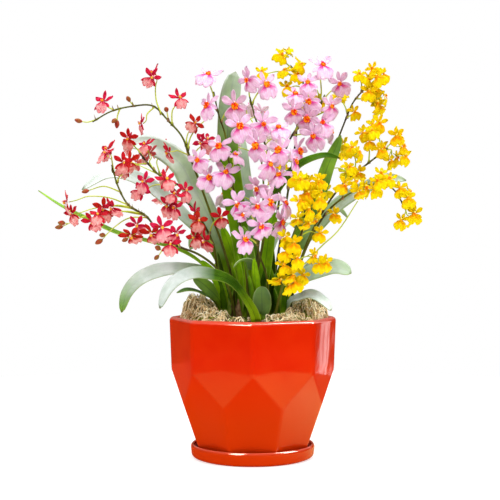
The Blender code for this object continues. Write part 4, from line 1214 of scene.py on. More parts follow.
def leaf_material():
    """Green blades with parallel veins, a yellow-green foot, and wax that is painted paler where a face
    looks up as a painted sheen, with painted light at the margins and painted shade along the midrib.
    """
    made, tree, shader = material("waxy_leaf")
    lines = stripes(tree, 26.0, width=0.3, wander=0.5)
    # Each leaf's yellow-green is set by how it is lit: partly painted light shining through the leaf, and a
    # dark leaf partly painted shade.
    lime = attribute(tree, "lime")
    dark = mottle(tree, (0.020, 0.078, 0.001), (0.060, 0.175, 0.002), 60.0)["Colour"]
    light = mottle(tree, (0.14, 0.36, 0.002), (0.30, 0.60, 0.004), 60.0)["Colour"]
    green = mixed(tree, lime, dark, light)
    veins = times(tree, lines["Mask"], ranged(tree, lines["Along"], 0.7, 0.9, 1.0, 0.0))
    veined = mixed(tree, times(tree, veins, 0.3), green, (0.22, 0.38, 0.02))
    foot = ranged(tree, lines["Along"], 0.04, 0.26, 0.92, 0.0)
    fresh = mixed(tree, foot, veined, (0.34, 0.58, 0.008))
    # The paler margin is painted light, shining through the thin edge of the leaf.
    margin = ranged(tree, lines["Across"], 0.88, 1.0, 0.0, 0.5)
    edged = mixed(tree, margin, fresh, (0.34, 0.48, 0.06))
    # The darker line along the folded midrib is painted shade in its groove.
    rib = ranged(tree, lines["Across"], 0.02, 0.09, 0.6, 0.0)
    ribbed = mixed(tree, rib, edged, (0.03, 0.10, 0.006))
    # Faces that look up get more of the pale wax: partly the real wax, partly a painted sheen of the light
    # from above.
    up = parts_of(tree, node(tree, "ShaderNodeNewGeometry").outputs["Normal"])["Z"]
    lit = ranged(tree, up, -0.1, 0.45, 0.4, 1.0)
    start = attribute(tree, "wax_and_sheen_from")
    grown = ranged(tree, lines["Along"], start, maths(tree, "ADD", start, 0.24))
    # Toward the tip of one leaf the wax and sheen fade out: partly its unwaxed underside, partly painted
    # shade.
    kept = ranged(tree, times(tree, lines["Along"], attribute(tree, "green_tip")), 0.74, 0.97,
                  1.0, 0.12)
    wax_and_sheen = times(tree, times(tree, times(tree, attribute(tree, "wax_and_sheen"), lit), grown), kept)
    streaks = times(tree, wax_and_sheen, ranged(tree, veins, 0.0, 1.0, 1.0, 0.82))
    # The pale blue-grey of the wax, partly a painted sheen of the sky.
    patches = mottle(tree, (0.62, 0.735, 0.69), (0.79, 0.885, 0.87), 90.0)["Colour"]
    with_wax_and_sheen = mixed(tree, times(tree, streaks, 0.95), ribbed, patches)
    tip = ranged(tree, lines["Along"], 0.975, 1.0, 0.0, 0.7)
    bumped(tree, shader, veins, 0.00025)
    fill(tree, shader, {
        "Base Color": mixed(tree, tip, with_wax_and_sheen, (0.14, 0.18, 0.03)),
        "Roughness": ranged(tree, wax_and_sheen, 0.0, 1.0, 0.38, 0.65),
        "Specular IOR Level": 0.08,
    })
    return made


def plain_organic(name, colour_a, colour_b, scale, rough, bump, low=0.35, high=0.65):
    """A matt natural skin in two shades, with a fine grain."""
    made, tree, shader = material(name)
    bumped(tree, shader, noisy(tree, own_place(tree), scale * 5), bump)
    fill(tree, shader, {
        "Base Color": mottle(tree, colour_a, colour_b, scale, low=low, high=high)["Colour"],
        "Roughness": rough,
        "Specular IOR Level": 0.15,
    })
    return made


LEAF = leaf_material()
BULB = plain_organic("pseudobulb", (0.16, 0.26, 0.03), (0.30, 0.38, 0.06), 160.0, 0.5, 0.0003)
SHEATH = plain_organic("dry_sheath", (0.20, 0.09, 0.035), (0.48, 0.32, 0.16), 240.0, 0.8, 0.0004)
ROOT = plain_organic("root", (0.38, 0.34, 0.22), (0.62, 0.58, 0.44), 200.0, 0.85, 0.0003)

for name, shoot in SHOOTS.items():
    foot = foot_of(*shoot["foot"])
    draw = random.Random(sum(shoot["foot"]) + 500)
    blades = [
        leaf_blade(f"{name}_leaf_{rank}", shoot, rank) for rank in range(len(shoot["leaves"]))
    ]
    leaves = joined(blades, name + "_leaves")
    leaves.data.materials.append(LEAF)
    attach(leaves, "root")
    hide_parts(name)
    crown = [tubes(f"{name}_roots", [root_route(draw, foot) for _ in range(ROOTS)], 2)]
    crown[0].data.materials.append(ROOT)
    if shoot["bulb"]:
        crown.append(bulb_form(f"{name}_bulb", foot, shoot["bulb"]))
        crown[-1].data.materials.append(BULB)
    for i in range(SHEATHS):
        tall = 0.75 * (shoot["bulb"] or 18)
        wrap = sheath_form(f"{name}_sheath_{i}", foot, tall, math.pi * i + 0.6)
        wrap.data.materials.append(SHEATH)
        crown.append(wrap)
    for i in range(YOUNG_LEAVES):
        crown.append(young_leaf(f"{name}_young_leaf_{i}", foot, draw))
        crown[-1].data.materials.append(LEAF)
    base = joined(crown, name + "_crown")
    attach(base, "root")

# The flower sprays
# Each spray is a wiry stem with short zigzag twigs that bear buds and open blooms. A bloom
# has three sepals, two petals and a broad lip with a warty crest, all thin and flexible.
# Each spray: its foot on the mix (x, depth), the places that the stem passes (x, height,
# depth), in millimetres, as they show from the front, and its twigs: (x, height, depth) of
# the tip, the number of blooms and that of buds.
SPRAYS = {
    "spray_red_arching": {
        "colour": "red", "foot": (-18, 9), "seed": 11,
        "axis": [(-21, 178, 4), (-31, 214, 0), (-43, 246, -2), (-54, 277, -2), (-62, 297, 0), (-68, 316, 2),
            (-78, 329, 4), (-88, 340, 5), (-100, 351, 6), (-113, 350, 4), (-128, 350, 0), (-147, 343, -6),
            (-160, 335, -10)],
        "twigs": [(-174, 334, -12, 0, 1), (-94, 382, 8, 2, 0), (-148, 356, -8, 1, 0), (-122, 359, -2, 0, 1),
            (-133, 334, 2, 0, 2), (-107, 333, 8, 1, 0), (-73, 357, 6, 1, 0), (-83, 348, -6, 0, 1),
            (-58, 331, 8, 1, 0), (-44, 312, 2, 2, 0), (-40, 340, 10, 0, 1), (-85, 304, -6, 1, 0)],
    },
    "spray_red_front": {
        "colour": "red", "foot": (-17, -17), "seed": 12,
        "axis": [(-27, 176, -26), (-48, 199, -36), (-75, 211, -44), (-92, 222, -48), (-103, 238, -50),
            (-120, 248, -52), (-131, 261, -52), (-137, 278, -50), (-141, 292, -48)],
        "twigs": [(-141, 306, -46, 2, 0), (-96, 198, -54, 0, 2), (-128, 216, -58, 2, 1),
            (-152, 214, -54, 0, 2), (-160, 234, -60, 2, 0), (-149, 248, -56, 2, 0), (-178, 240, -50, 1, 0),
            (-192, 228, -46, 0, 2), (-184, 256, -48, 1, 0), (-166, 266, -44, 0, 1), (-128, 282, -40, 2, 0),
            (-101, 224, -62, 2, 0), (-72, 224, -62, 2, 0)],
    },
    "spray_red_middle": {
        "colour": "red", "foot": (-36, 4), "seed": 13,
        "axis": [(-36, 178, 2), (-37, 200, -4), (-41, 217, -12), (-48, 231, -15), (-58, 246, -16),
            (-73, 262, -16), (-88, 277, -15), (-103, 291, -14), (-113, 304, -14)],
        "twigs": [(-119, 314, -2, 2, 0), (-63, 264, -22, 2, 0), (-82, 250, -26, 2, 0),
            (-111, 263, -22, 2, 0), (-84, 280, -16, 2, 0), (-122, 286, -14, 2, 0), (-101, 298, 14, 2, 0),
            (-54, 243, -18, 2, 0), (-30, 240, -22, 1, 0), (-46, 214, -34, 2, 0)],
    },
    "spray_red_back": {
        "colour": "red", "foot": (-12, 30), "seed": 14,
        "axis": [(-16, 186, 46), (-30, 222, 62), (-50, 250, 74), (-74, 272, 82), (-100, 286, 86)],
        "twigs": [(-124, 296, 88, 1, 1), (-60, 284, 78, 2, 0), (-92, 258, 90, 2, 0), (-92, 308, 80, 1, 0)],
    },
    "spray_pink_left": {
        "colour": "pink", "foot": (-4, -4), "seed": 21,
        "axis": [(-6, 180, -6), (-10, 216, -8), (-16, 252, -9), (-23, 290, -8), (-27, 315, -6),
            (-28, 328, -4), (-34, 339, -2), (-34, 351, 0), (-39, 365, 2)],
        "twigs": [(-47, 378, 2, 1, 0), (-47, 350, -6, 1, 0), (-56, 298, -16, 1, 0), (-38, 311, -18, 1, 0),
            (-46, 274, -18, 1, 0), (-15, 352, -10, 1, 0), (-13, 296, -22, 1, 0), (-28, 280, -26, 1, 0)],
    },
    "spray_pink_middle": {
        "colour": "pink", "foot": (-2, -21), "seed": 22,
        "axis": [(3, 176, -27), (9, 208, -32), (15, 241, -34), (19, 269, -34), (20, 286, -32),
            (15, 306, -30), (7, 326, -26), (1, 344, -22), (-3, 360, -18)],
        "twigs": [(-6, 374, -14, 1, 0), (14, 368, -16, 1, 0), (-16, 328, -34, 1, 0), (10, 334, -42, 1, 0),
            (22, 330, -24, 1, 0), (-2, 312, -48, 1, 0), (8, 290, -54, 1, 0), (32, 306, -40, 2, 0),
            (-2, 268, -56, 1, 0), (30, 282, -44, 1, 0)],
    },
    "spray_pink_right": {
        "colour": "pink", "foot": (13, 8), "seed": 23,
        "axis": [(17, 186, 12), (22, 226, 16), (27, 261, 18), (31, 299, 20), (39, 321, 20), (48, 331, 20),
            (60, 338, 20), (64, 350, 21), (72, 362, 22)],
        "twigs": [(64, 388, 24, 1, 0), (54, 374, 18, 1, 0), (88, 372, 20, 1, 0), (79, 344, 12, 1, 0),
            (36, 358, 12, 2, 0), (48, 336, -2, 2, 0), (60, 316, 2, 2, 0), (48, 300, 4, 1, 0),
            (74, 322, 28, 1, 0)],
    },
    "spray_pink_low": {
        "colour": "pink", "foot": (14, -28), "seed": 24,
        "axis": [(15, 174, -30), (11, 190, -43), (6, 205, -57), (4, 222, -64), (6, 240, -66)],
        "twigs": [(10, 258, -68, 2, 0), (-13, 219, -70, 1, 0), (13, 228, -76, 1, 0), (28, 228, -62, 1, 0),
            (-16, 254, -66, 2, 0), (28, 256, -64, 1, 0)],
    },
    "spray_pink_back": {
        "colour": "pink", "foot": (3, 19), "seed": 25,
        "axis": [(4, 190, 30), (8, 230, 44), (11, 268, 58), (8, 302, 70), (2, 330, 78)],
        "twigs": [(-6, 350, 80, 2, 0), (-20, 306, 70, 1, 0), (26, 318, 70, 2, 0), (36, 282, 66, 1, 0),
            (-26, 262, 58, 1, 0)],
    },
    "spray_yellow_top": {
        "colour": "yellow", "foot": (17, 19), "seed": 31,
        "axis": [(23, 186, 28), (30, 231, 36), (37, 276, 40), (43, 316, 42), (46, 346, 42), (51, 358, 42),
            (52, 370, 40), (46, 382, 38), (38, 391, 36)],
        "twigs": [(10, 380, 28, 1, 0), (26, 397, 34, 3, 0), (40, 378, 28, 3, 0), (34, 366, 30, 1, 0),
            (44, 354, 34, 2, 0), (64, 352, 40, 2, 0), (28, 281, 26, 2, 0)],
    },
    "spray_yellow_upper": {
        "colour": "yellow", "foot": (33, 10), "seed": 32,
        "axis": [(40, 190, 22), (54, 231, 28), (68, 271, 30), (81, 306, 28), (90, 329, 24), (95, 348, 18),
            (104, 359, 14), (110, 370, 10), (118, 374, 6)],
        "twigs": [(103, 380, 4, 2, 0), (130, 382, 2, 3, 0), (119, 364, 2, 2, 0), (120, 350, -2, 4, 0),
            (99, 340, 12, 1, 0), (82, 358, 26, 1, 0)],
    },
    "spray_yellow_side": {
        "colour": "yellow", "foot": (36, -6), "seed": 33,
        "axis": [(46, 190, -14), (62, 231, -22), (84, 266, -24), (104, 286, -22), (114, 293, -20),
            (126, 298, -18), (135, 309, -16)],
        "twigs": [(143, 322, -14, 3, 0), (143, 304, -10, 3, 0), (124, 308, -20, 2, 0),
            (108, 322, -14, 3, 0), (96, 308, -24, 2, 0), (92, 290, -30, 2, 0), (118, 328, -6, 2, 0)],
    },
    "spray_yellow_weeping": {
        "colour": "yellow", "foot": (36, -15), "seed": 34,
        "axis": [(42, 172, -17), (53, 208, -26), (75, 246, -38), (98, 264, -42), (123, 274, -38),
            (135, 272, -36), (145, 262, -34), (152, 250, -32)],
        "twigs": [(155, 240, -30, 3, 0), (154, 266, -34, 3, 0), (126, 284, -40, 3, 0),
            (108, 270, -48, 3, 0), (88, 274, -50, 2, 0), (82, 241, -50, 1, 0)],
    },
    "spray_yellow_front": {
        "colour": "yellow", "foot": (21, -34), "seed": 35,
        "axis": [(31, 176, -54), (40, 200, -60), (48, 222, -64), (53, 246, -66), (53, 264, -66)],
        "twigs": [(46, 278, -64, 3, 0), (62, 279, -60, 2, 0), (58, 266, -76, 3, 0), (42, 256, -76, 2, 0),
            (65, 251, -68, 2, 0), (52, 240, -80, 2, 0), (29, 221, -72, 2, 0), (32, 206, -74, 2, 0),
            (28, 192, -74, 2, 0), (24, 180, -70, 2, 0), (38, 177, -70, 2, 0), (72, 197, -60, 3, 0),
            (66, 224, -60, 1, 0)],
    },
    "spray_yellow_back": {
        "colour": "yellow", "foot": (13, 37), "seed": 36,
        "axis": [(29, 190, 62), (44, 231, 74), (60, 268, 82), (76, 296, 86)],
        "twigs": [(90, 314, 86, 2, 0), (46, 280, 84, 2, 0), (74, 262, 92, 2, 0), (98, 284, 84, 2, 0)],
    },
}
GOLDEN_ANGLE = math.radians(137.5)
BLOOMS = {
    "pink": {"reach": 13.0, "pedicel": 13.0, "spacing": 15.0},
    "red": {"reach": 9.4, "pedicel": 9.0, "spacing": 10.0},
    "yellow": {"reach": 8.8, "pedicel": 8.5, "spacing": 9.0},
}
BUD_LENGTH = 0.9
BUD_HALF_WIDTH = 0.27
BUD_PEDICEL = 0.7
SMALLEST_BLOOM = 0.9
LARGEST_BLOOM = 1.08
FACE_LEAN = 0.4
CLEAR_OF_OTHERS = 0.92
CLEAR_ON_SPRAY = 0.6
CANDIDATE_PLACES = 18
WORST_ROOM = -2.5
PLANT_MIDDLE_Z = 200.0
PLANT_BACK_Y = 45.0
PLANTING_DEPTH = 16.0
STEM_ROOM = 2.0
TWIG_ROOM = 1.5
TWIG_STEPS = 60
TWIG_LOWEST_STEP = 6
TWIG_START = 0.45
TWIG_BOW = 0.35
SHORT_TWIG = 38.0


def axis_path(spray):
    """The stem's way, from the ground up."""
    foot = foot_of(*spray["foot"])
    places = [foot, foot + Vector((0, 0, 5))]
    places += [seen(*place) for place in spray["axis"]]
    return smooth_path(places, 2 + len(spray["axis"]))


def twig_path(axis, tip):
    """A twig leaves the stem a little below the nearest point and bows out to its tip."""
    dense = even_path(axis, TWIG_STEPS)
    above_foot = range(TWIG_LOWEST_STEP + 2, TWIG_STEPS)
    nearest = min(above_foot, key=lambda i: (dense[i] - tip).length)
    length = (dense[nearest] - tip).length
    step = (dense[1] - dense[0]).length
    start = max(TWIG_LOWEST_STEP, nearest - round(TWIG_START * length / step))
    ahead = (dense[min(start + 1, TWIG_STEPS - 1)] - dense[start - 1]).normalized()
    root = dense[start]
    reach = (tip - root).length
    bow = root + ahead * TWIG_BOW * reach + (tip - root) * 0.25
    curve = []
    steps = 8
    for i in range(steps + 1):
        t = i / steps
        curve.append(root * (1 - t) ** 2 + bow * 2 * t * (1 - t) + tip * t**2)
    return even_path(curve, 3 if reach < SHORT_TWIG else 4)


def obstacles():
    """Balls along every leaf and stem: (centre, radius, owner)."""
    found = []
    for name, shoot in SHOOTS.items():
        for rank, leaf in enumerate(shoot["leaves"]):
            path = leaf_path(shoot, rank)
            for i in range(0, LEAF_STEPS + 1, 3):
                radius = leaf_half_width(leaf[0], i / LEAF_STEPS) * 0.85 + 0.5
                found.append((path[i], radius, name))
    for name, spray in SPRAYS.items():
        axis = axis_path(spray)
        for point in even_path(axis, 40):
            found.append((point, STEM_ROOM, name))
        for twig in spray["twigs"]:
            for point in even_path(twig_path(axis, seen(*twig[:3])), 8):
                found.append((point, TWIG_ROOM, name))
    return found


def wanted_face(place):
    """Blooms look outward from the plant, and those that don't stand at its back look
    mostly to the front."""
    outward = Vector((place.x, place.y * 1.6, (place.z - PLANT_MIDDLE_Z) * 0.6))
    front = Vector((0, -0.75 if place.y < PLANT_BACK_Y else 0.35, 0))
    return outward.normalized() * 0.6 + front


def facing(place, along, draw):
    """The way that a bloom looks: the wanted one, leaning along its stalk, and chance."""
    chance = Vector([draw.uniform(-1, 1) for _ in range(3)])
    face = (wanted_face(place) + along * 0.45 + chance * 0.3).normalized()
    if face.dot(along) < FACE_LEAN:
        face = across(face, along) * math.sqrt(1 - FACE_LEAN**2) + along * FACE_LEAN
    return face


def room_at(place, reach, owner, taken, heads):
    """How far a bloom here stays clear of everything else, negative where it doesn't."""
    room = 1000.0
    for point, radius, name in taken:
        if name != owner:
            room = min(room, (point - place).length - radius - reach * CLEAR_OF_OTHERS)
    for head in heads:
        apart = (head["place"] - place).length
        reaches = head["reach"] + reach
        if head["owner"] != owner:
            room = min(room, apart - reaches * CLEAR_OF_OTHERS)
        else:
            room = min(room, (apart - reaches * CLEAR_ON_SPRAY) * 0.8)
    return room


def places_round(base, along, turn, first, length):
    """The places that a head on this stretch of twig may take, and the way to each."""
    side = across(Vector((0, 0, 1)), along)
    other = along.cross(side)
    if first:
        yield base, along
    for j in range(CANDIDATE_PLACES):
        angle = turn + j * GOLDEN_ANGLE
        round_about = side * math.cos(angle) + other * math.sin(angle)
        if first:
            place = base + round_about * length * (0.3 if j % 2 == 0 else 0.6)
            yield place, (along * length + place - base).normalized()
        else:
            out = (along + round_about * 1.6).normalized()
            yield base + out * length * (1.0, 1.25, 1.5)[j % 3], out


def grow_spray(name, spray, taken, heads):
    """Adds the spray's blooms and buds, each at the roomiest of a few places."""
    kind = BLOOMS[spray["colour"]]
    draw = random.Random(spray["seed"])
    axis = axis_path(spray)
    spots = 30
    for *place_seen, blooms, buds in spray["twigs"]:
        path = twig_path(axis, seen(*place_seen))
        dense = even_path(path, spots)
        length = sum((b - a).length for a, b in zip(path, path[1:]))
        shapes = ["bud"] * buds + ["bloom"] * blooms
        spacing = min(kind["spacing"], 0.8 * length / len(shapes))
        turn = draw.uniform(0, math.tau)
        for i, shape in enumerate(shapes):
            spot = max(1, round((spots - 1) * (1 - i * spacing / length)))
            base = dense[spot]
            along = (base - dense[spot - 1]).normalized()
            size = draw.uniform(SMALLEST_BLOOM, LARGEST_BLOOM) * kind["reach"]
            reach = size if shape == "bloom" else size * BUD_LENGTH / 2
            pedicel = kind["pedicel"] * (1.0 if shape == "bloom" else BUD_PEDICEL)
            best = None
            start = turn + i * GOLDEN_ANGLE
            for place, out in places_round(base, along, start, i == 0, pedicel):
                room = room_at(place, reach, name, taken, heads)
                score = min(room, 0.6) + 0.5 * out.dot(wanted_face(place))
                if best is None or score > best[0]:
                    best = (score, room, place, out)
            _, room, place, out = best
            face = facing(place, out, draw)
            roll = draw.uniform(-0.5, 0.5)
            if i > 0 and room < WORST_ROOM:
                continue
            if i == 0:
                path = [*path[:-1], place]
                dense = even_path(path, spots)
            heads.append({
                "owner": name, "shape": shape, "colour": spray["colour"], "size": size,
                "reach": reach, "path": path if i == 0 else [base, place], "place": place,
                "stalk": out, "face": face, "roll": roll,
            })


def all_heads():
    """Every bloom and bud of every spray."""
    taken = obstacles()
    heads = []
    for name, spray in SPRAYS.items():
        grow_spray(name, spray, taken, heads)
    return heads


TWIG_RADIUS = 0.85
PEDICEL_RADIUS = 0.55
STALK_END_RADIUS = {"pink": 0.55, "red": 0.48, "yellow": 0.48}
STEM_RADIUS = 1.5
STEM_TAPER = 0.75
STEM_POINTS_APART = 2.2
JOINT_SWELLING = 0.45
JOINT_REACH = 1.6


def stalk_route(head):
    """The twig or pedicel of a head, which comes up to it from behind."""
    path = [point.copy() for point in head["path"]]
    if head["shape"] == "bloom":
        path[-1] = head["place"] - head["face"] * 0.10 * head["size"]
        before = path[-1] - head["face"] * 0.28 * head["size"]
        path.insert(-1, before.lerp(path[-2], 0.35))
    else:
        path[-1] = head["place"] - head["stalk"] * 0.36 * head["size"]
    twig = len(head["path"]) > 2
    points = smooth_path(path, 16 if twig else 8)
    thick = TWIG_RADIUS if twig else PEDICEL_RADIUS
    thin = STALK_END_RADIUS[head["colour"]]
    last = len(points) - 1
    return points, [thick + (thin - thick) * i / last for i in range(last + 1)]


def main_route(spray, twigs):
    """The main stem, with a joint where each twig leaves it."""
    foot = foot_of(*spray["foot"])
    axis = [foot - Vector((0, 0, PLANTING_DEPTH)), *axis_path(spray)]
    length = sum((b - a).length for a, b in zip(axis, axis[1:]))
    points = smooth_path(axis, round(length / STEM_POINTS_APART))
    last = len(points) - 1
    radii = []
    for i, point in enumerate(points):
        joint = min((point - head["path"][0]).length for head in twigs)
        swelling = JOINT_SWELLING * math.exp(-((joint / JOINT_REACH) ** 2))
        radii.append(STEM_RADIUS - STEM_TAPER * i / last + swelling)
    return points, radii


BRACT_CELLS = (4, 4)
BRACT_THICKNESS = 0.3


def bract_form():
    """A small dry bract that clasps a joint of the stem."""

    def place_at(u, v):
        angle = u * 1.2 * (1 - v)
        out = 1.7 + 1.1 * v
        return Vector((math.sin(angle) * out, -math.cos(angle) * out, 5.6 * v - 0.8))

    return sheet_form("bract", *BRACT_CELLS, place_at, BRACT_THICKNESS)


def framed(place, x_axis, y_axis, z_axis, size):
    """A place in millimetres with its own axes, at this size."""
    turn = Matrix((x_axis, y_axis, z_axis)).transposed().to_4x4()
    return Matrix.Translation(place * MM) @ turn @ Matrix.Scale(size, 4)


def bract_place(point, heading, toward):
    """Stands a bract on the stem's way, on the side of its twig."""
    up = heading.normalized()
    out = across(toward, up)
    return framed(point, (-out).cross(up), -out, up, 1.0)


PETAL_THICKNESS = 0.36
PETAL_CELLS = (4, 7)
LIP_CELLS = (14, 8)
# Each colour's bloom, in millimetres: the length and width of its sepals, the angle of the
# two lower ones off upright, the angle, length and width of its petals, how much these
# ruffle, how pointed all these are, its lip (length, width, notch, droop, ruffle and the share
# of the width at the neck), its crest's half width, its column's half length and half width,
# how far it may turn from its stalk's way, in radians, and how much larger it is than its
# solid's star.
BLOOM_SHAPES = {
    "pink": {
        "sepals": (10.8, 4.2), "low_angle": 124, "petals": (60, 11.4, 6.2), "ruffle": 1.0,
        "blunt": 0.6, "lip": (14.4, 17.2, 0.22, 3.4, 1.0, 0.30), "crest": 2.0, "column": (2.3, 1.3),
        "sway": 1.0, "grown": 1.12,
    },
    "red": {
        "sepals": (8.4, 3.5), "low_angle": 134, "petals": (62, 8.6, 4.2), "ruffle": 0.6,
        "blunt": 0.85, "lip": (10.6, 10.4, 0.18, 2.6, 0.7, 0.28), "crest": 0.7, "column": (1.8, 0.9),
        "sway": 1.25, "grown": 1.20,
    },
    "yellow": {
        "sepals": (5.8, 3.0), "low_angle": 128, "petals": (58, 6.6, 3.8), "ruffle": 0.8,
        "blunt": 0.7, "lip": (9.2, 12.6, 0.28, 2.4, 1.1, 0.28), "crest": 0.8, "column": (1.4, 0.8),
        "sway": 0.85, "grown": 1.16,
    },
}
BLOOM_FORMS = 5
SMALLER_BY = 0.94
NOD_SHARE = 0.6
LEAST_LEAN_FROM_STALK = 0.15


def petal_sheet(name, angle, length, width, cup, ruffle, fold, blunt):
    """A petal or sepal that points this many degrees off upright, seen from the front."""
    away = math.radians(angle)
    along = Vector((math.sin(away), math.cos(away), 0))
    side = Vector((math.cos(away), -math.sin(away), 0))
    face = Vector((0, 0, 1))
    broadest = 0.6

    def place_at(u, v):
        if v < broadest:
            wide = 0.24 + 0.76 * math.sin(math.pi / 2 * v / broadest) ** 1.2
        else:
            wide = max(0.0, 1 - ((v - broadest) / (1 - broadest)) ** 2) ** blunt
        half = max(width / 2 * wide, 0.12)
        lift = cup * v * v * length + fold * half * (u * u - 0.4)
        lift += ruffle * math.sin(v * 8 + 3 * u + angle) * (0.25 + abs(u) ** 1.5) * v
        bend = 0.06 * length * math.sin(3 * v + angle) * v
        return along * (0.8 + length * v) + side * (half * u + bend) + face * (lift + 0.6)

    return sheet_form(name, *PETAL_CELLS, place_at, PETAL_THICKNESS)


def lip_sheet(length, width, notch, droop, ruffle, neck):
    """A lip: a narrow neck under the crest that opens into two broad lobes below."""

    def place_at(u, v):
        opened = min(1.0, max(0.0, (v - 0.08) / 0.42))
        opened = opened * opened * (3 - 2 * opened)
        half = width / 2 * (neck + (1 - neck) * opened)
        half *= 1 - 0.14 * max(0.0, (v - 0.6) / 0.4) ** 2
        end = 1 - notch * math.exp(-((u / 0.2) ** 2)) * v**4 - 0.30 * abs(u) ** 3 * v**2
        end += 0.03 * math.sin(u * 15) * v**3
        lift = 1.6 + 1.0 * math.sin(math.pi * min(1.0, v * 1.4)) - droop * v * v
        lift -= 0.16 * half * u * u * v + 0.5 * math.exp(-((u / 0.12) ** 2)) * v
        lift += ruffle * math.sin(u * 8.5 + 3 * v) * v * v * (0.3 + abs(u))
        return Vector((-half * u, -0.3 - length * v * end, lift))

    return sheet_form("lip", *LIP_CELLS, place_at, PETAL_THICKNESS)


def ball(name, place, size, segments=8, rings=6):
    """A round piece with its place and its three half sizes, in millimetres."""
    bpy.ops.mesh.primitive_uv_sphere_add(segments=segments, ring_count=rings, radius=1)
    piece = bpy.context.object
    piece.name = name
    for vert in piece.data.vertices:
        vert.co = Vector([at + c * half for at, c, half in zip(place, vert.co, size)]) * MM
    bpy.ops.object.shade_smooth()
    return piece


def crest_piece(draw, size):
    """The warty crest at the top of the lip."""
    middle = -0.75 * size
    warts = [ball("crest", (0, middle, 2.6), (1.3 * size, 1.4 * size, 1.1))]
    for i in range(9):
        angle = math.tau * i / 8 + draw.uniform(-0.3, 0.3)
        out = size * (1.0 if i < 8 else 0.2)
        half = draw.uniform(0.36, 0.56) * size
        place = (out * math.cos(angle), middle + 1.1 * out * math.sin(angle), 3.2)
        warts.append(ball("wart", place, (half, half, half * 1.4), 6, 4))
    return joined(warts, "crest")


def petal_material(name, front, deep, vein, back, midline, vein_share, patch=None):
    """A soft petal with fine veins, a deeper base and a paler back with a midline."""
    made, tree, shader = material(name)
    lines = stripes(tree, 9.0, width=0.2, wander=0.9)
    soft = mottle(tree, front, deep, 300.0, low=0.35, high=0.85)["Colour"]
    base = ranged(tree, lines["Along"], 0.05, 0.5, 0.85, 0.0)
    deeper = mixed(tree, base, soft, deep)
    veined = mixed(tree, times(tree, lines["Mask"], vein_share), deeper, vein)
    if patch:
        inner = ranged(tree, lines["Along"], 0.28, 0.54, 1.0, 0.0)
        outer = ranged(tree, lines["Across"], 0.16, 0.3)
        share = times(tree, inner, outer)
        veined = mixed(tree, times(tree, share, 0.9), veined, patch)
    rib = ranged(tree, lines["Across"], 0.04, 0.2, 0.6, 0.0)
    behind = mixed(tree, rib, back, midline)
    both = mixed(tree, attribute(tree, "under"), veined, behind)
    tint = attribute(tree, "tint")
    tinted = node(tree, "ShaderNodeHueSaturation", {
        "Hue": ranged(tree, tint, 0.0, 1.0, 0.486, 0.507),
        "Value": ranged(tree, tint, 1.0, 0.0, 0.90, 1.10),
        "Color": both,
    })
    bumped(tree, shader, lines["Mask"], 0.00018)
    fill(tree, shader, {
        "Base Color": tinted.outputs["Color"],
        "Roughness": 0.6,
        "Specular IOR Level": 0.05,
        "Subsurface Weight": 0.35,
        "Subsurface Radius": (1.0, 0.8, 0.8),
        "Subsurface Scale": 0.0015,
    })
    return made


def crest_material(name, dark, light):
    """Warts in two bright colours that part sharply."""
    return plain_organic(name, dark, light, 420.0, 0.4, 0.0002, low=0.44, high=0.54)


PETALS = {
    "pink": [
        petal_material("lilac_petal", (0.93, 0.66, 0.86), (0.84, 0.44, 0.72), (0.66, 0.16, 0.46),
                       (0.92, 0.74, 0.85), (0.50, 0.36, 0.16), 0.22),
        petal_material("lilac_lip", (0.95, 0.70, 0.89), (0.86, 0.44, 0.75), (0.72, 0.20, 0.54),
                       (0.92, 0.74, 0.86), (0.60, 0.36, 0.30), 0.25, (0.62, 0.010, 0.24)),
        crest_material("orange_crest", (0.84, 0.022, 0.002), (1.0, 0.36, 0.006)),
        crest_material("lilac_column", (0.70, 0.10, 0.32), (0.95, 0.82, 0.84)),
    ],
    "red": [
        petal_material("crimson_petal", (0.66, 0.010, 0.022), (0.38, 0.002, 0.006), (0.80, 0.12, 0.14),
                       (0.70, 0.13, 0.12), (0.36, 0.14, 0.04), 0.3),
        petal_material("salmon_lip", (0.95, 0.52, 0.48), (0.80, 0.10, 0.11), (0.62, 0.03, 0.06),
                       (0.86, 0.48, 0.42), (0.50, 0.16, 0.08), 0.4, (0.50, 0.004, 0.018)),
        crest_material("yellow_crest", (0.86, 0.30, 0.01), (0.94, 0.62, 0.05)),
        crest_material("crimson_column", (0.60, 0.04, 0.08), (0.92, 0.56, 0.50)),
    ],
    "yellow": [
        petal_material("yellow_petal", (0.95, 0.73, 0.002), (0.86, 0.58, 0.002), (0.74, 0.36, 0.002),
                       (0.78, 0.68, 0.008), (0.40, 0.44, 0.01), 0.2),
        petal_material("yellow_lip", (0.97, 0.78, 0.002), (0.90, 0.62, 0.002), (0.88, 0.46, 0.002),
                       (0.90, 0.74, 0.008), (0.60, 0.56, 0.01), 0.2, (0.90, 0.36, 0.002)),
        crest_material("rust_crest", (0.82, 0.20, 0.002), (0.96, 0.48, 0.003)),
        crest_material("yellow_column", (0.90, 0.62, 0.005), (0.96, 0.82, 0.15)),
    ],
}
BUD_COLOURS = {
    "pink": ((0.46, 0.40, 0.18), (0.78, 0.40, 0.56), 200.0),
    "red": ((0.26, 0.16, 0.03), (0.40, 0.02, 0.025), 160.0),
    "yellow": ((0.44, 0.46, 0.02), (0.82, 0.62, 0.01), 200.0),
}
BUDS = {
    colour: plain_organic(f"{colour}_bud", *look, 0.5, 0.0002)
    for colour, look in BUD_COLOURS.items()
}
STEM = plain_organic("flower_stem", (0.030, 0.014, 0.010), (0.12, 0.15, 0.010), 30.0, 0.45, 0.0002)
TWIG = plain_organic("green_twig", (0.40, 0.50, 0.03), (0.66, 0.80, 0.10), 60.0, 0.45, 0.0002)
BRACT = plain_organic("dry_bract", (0.16, 0.08, 0.03), (0.46, 0.34, 0.17), 200.0, 0.8, 0.0003)


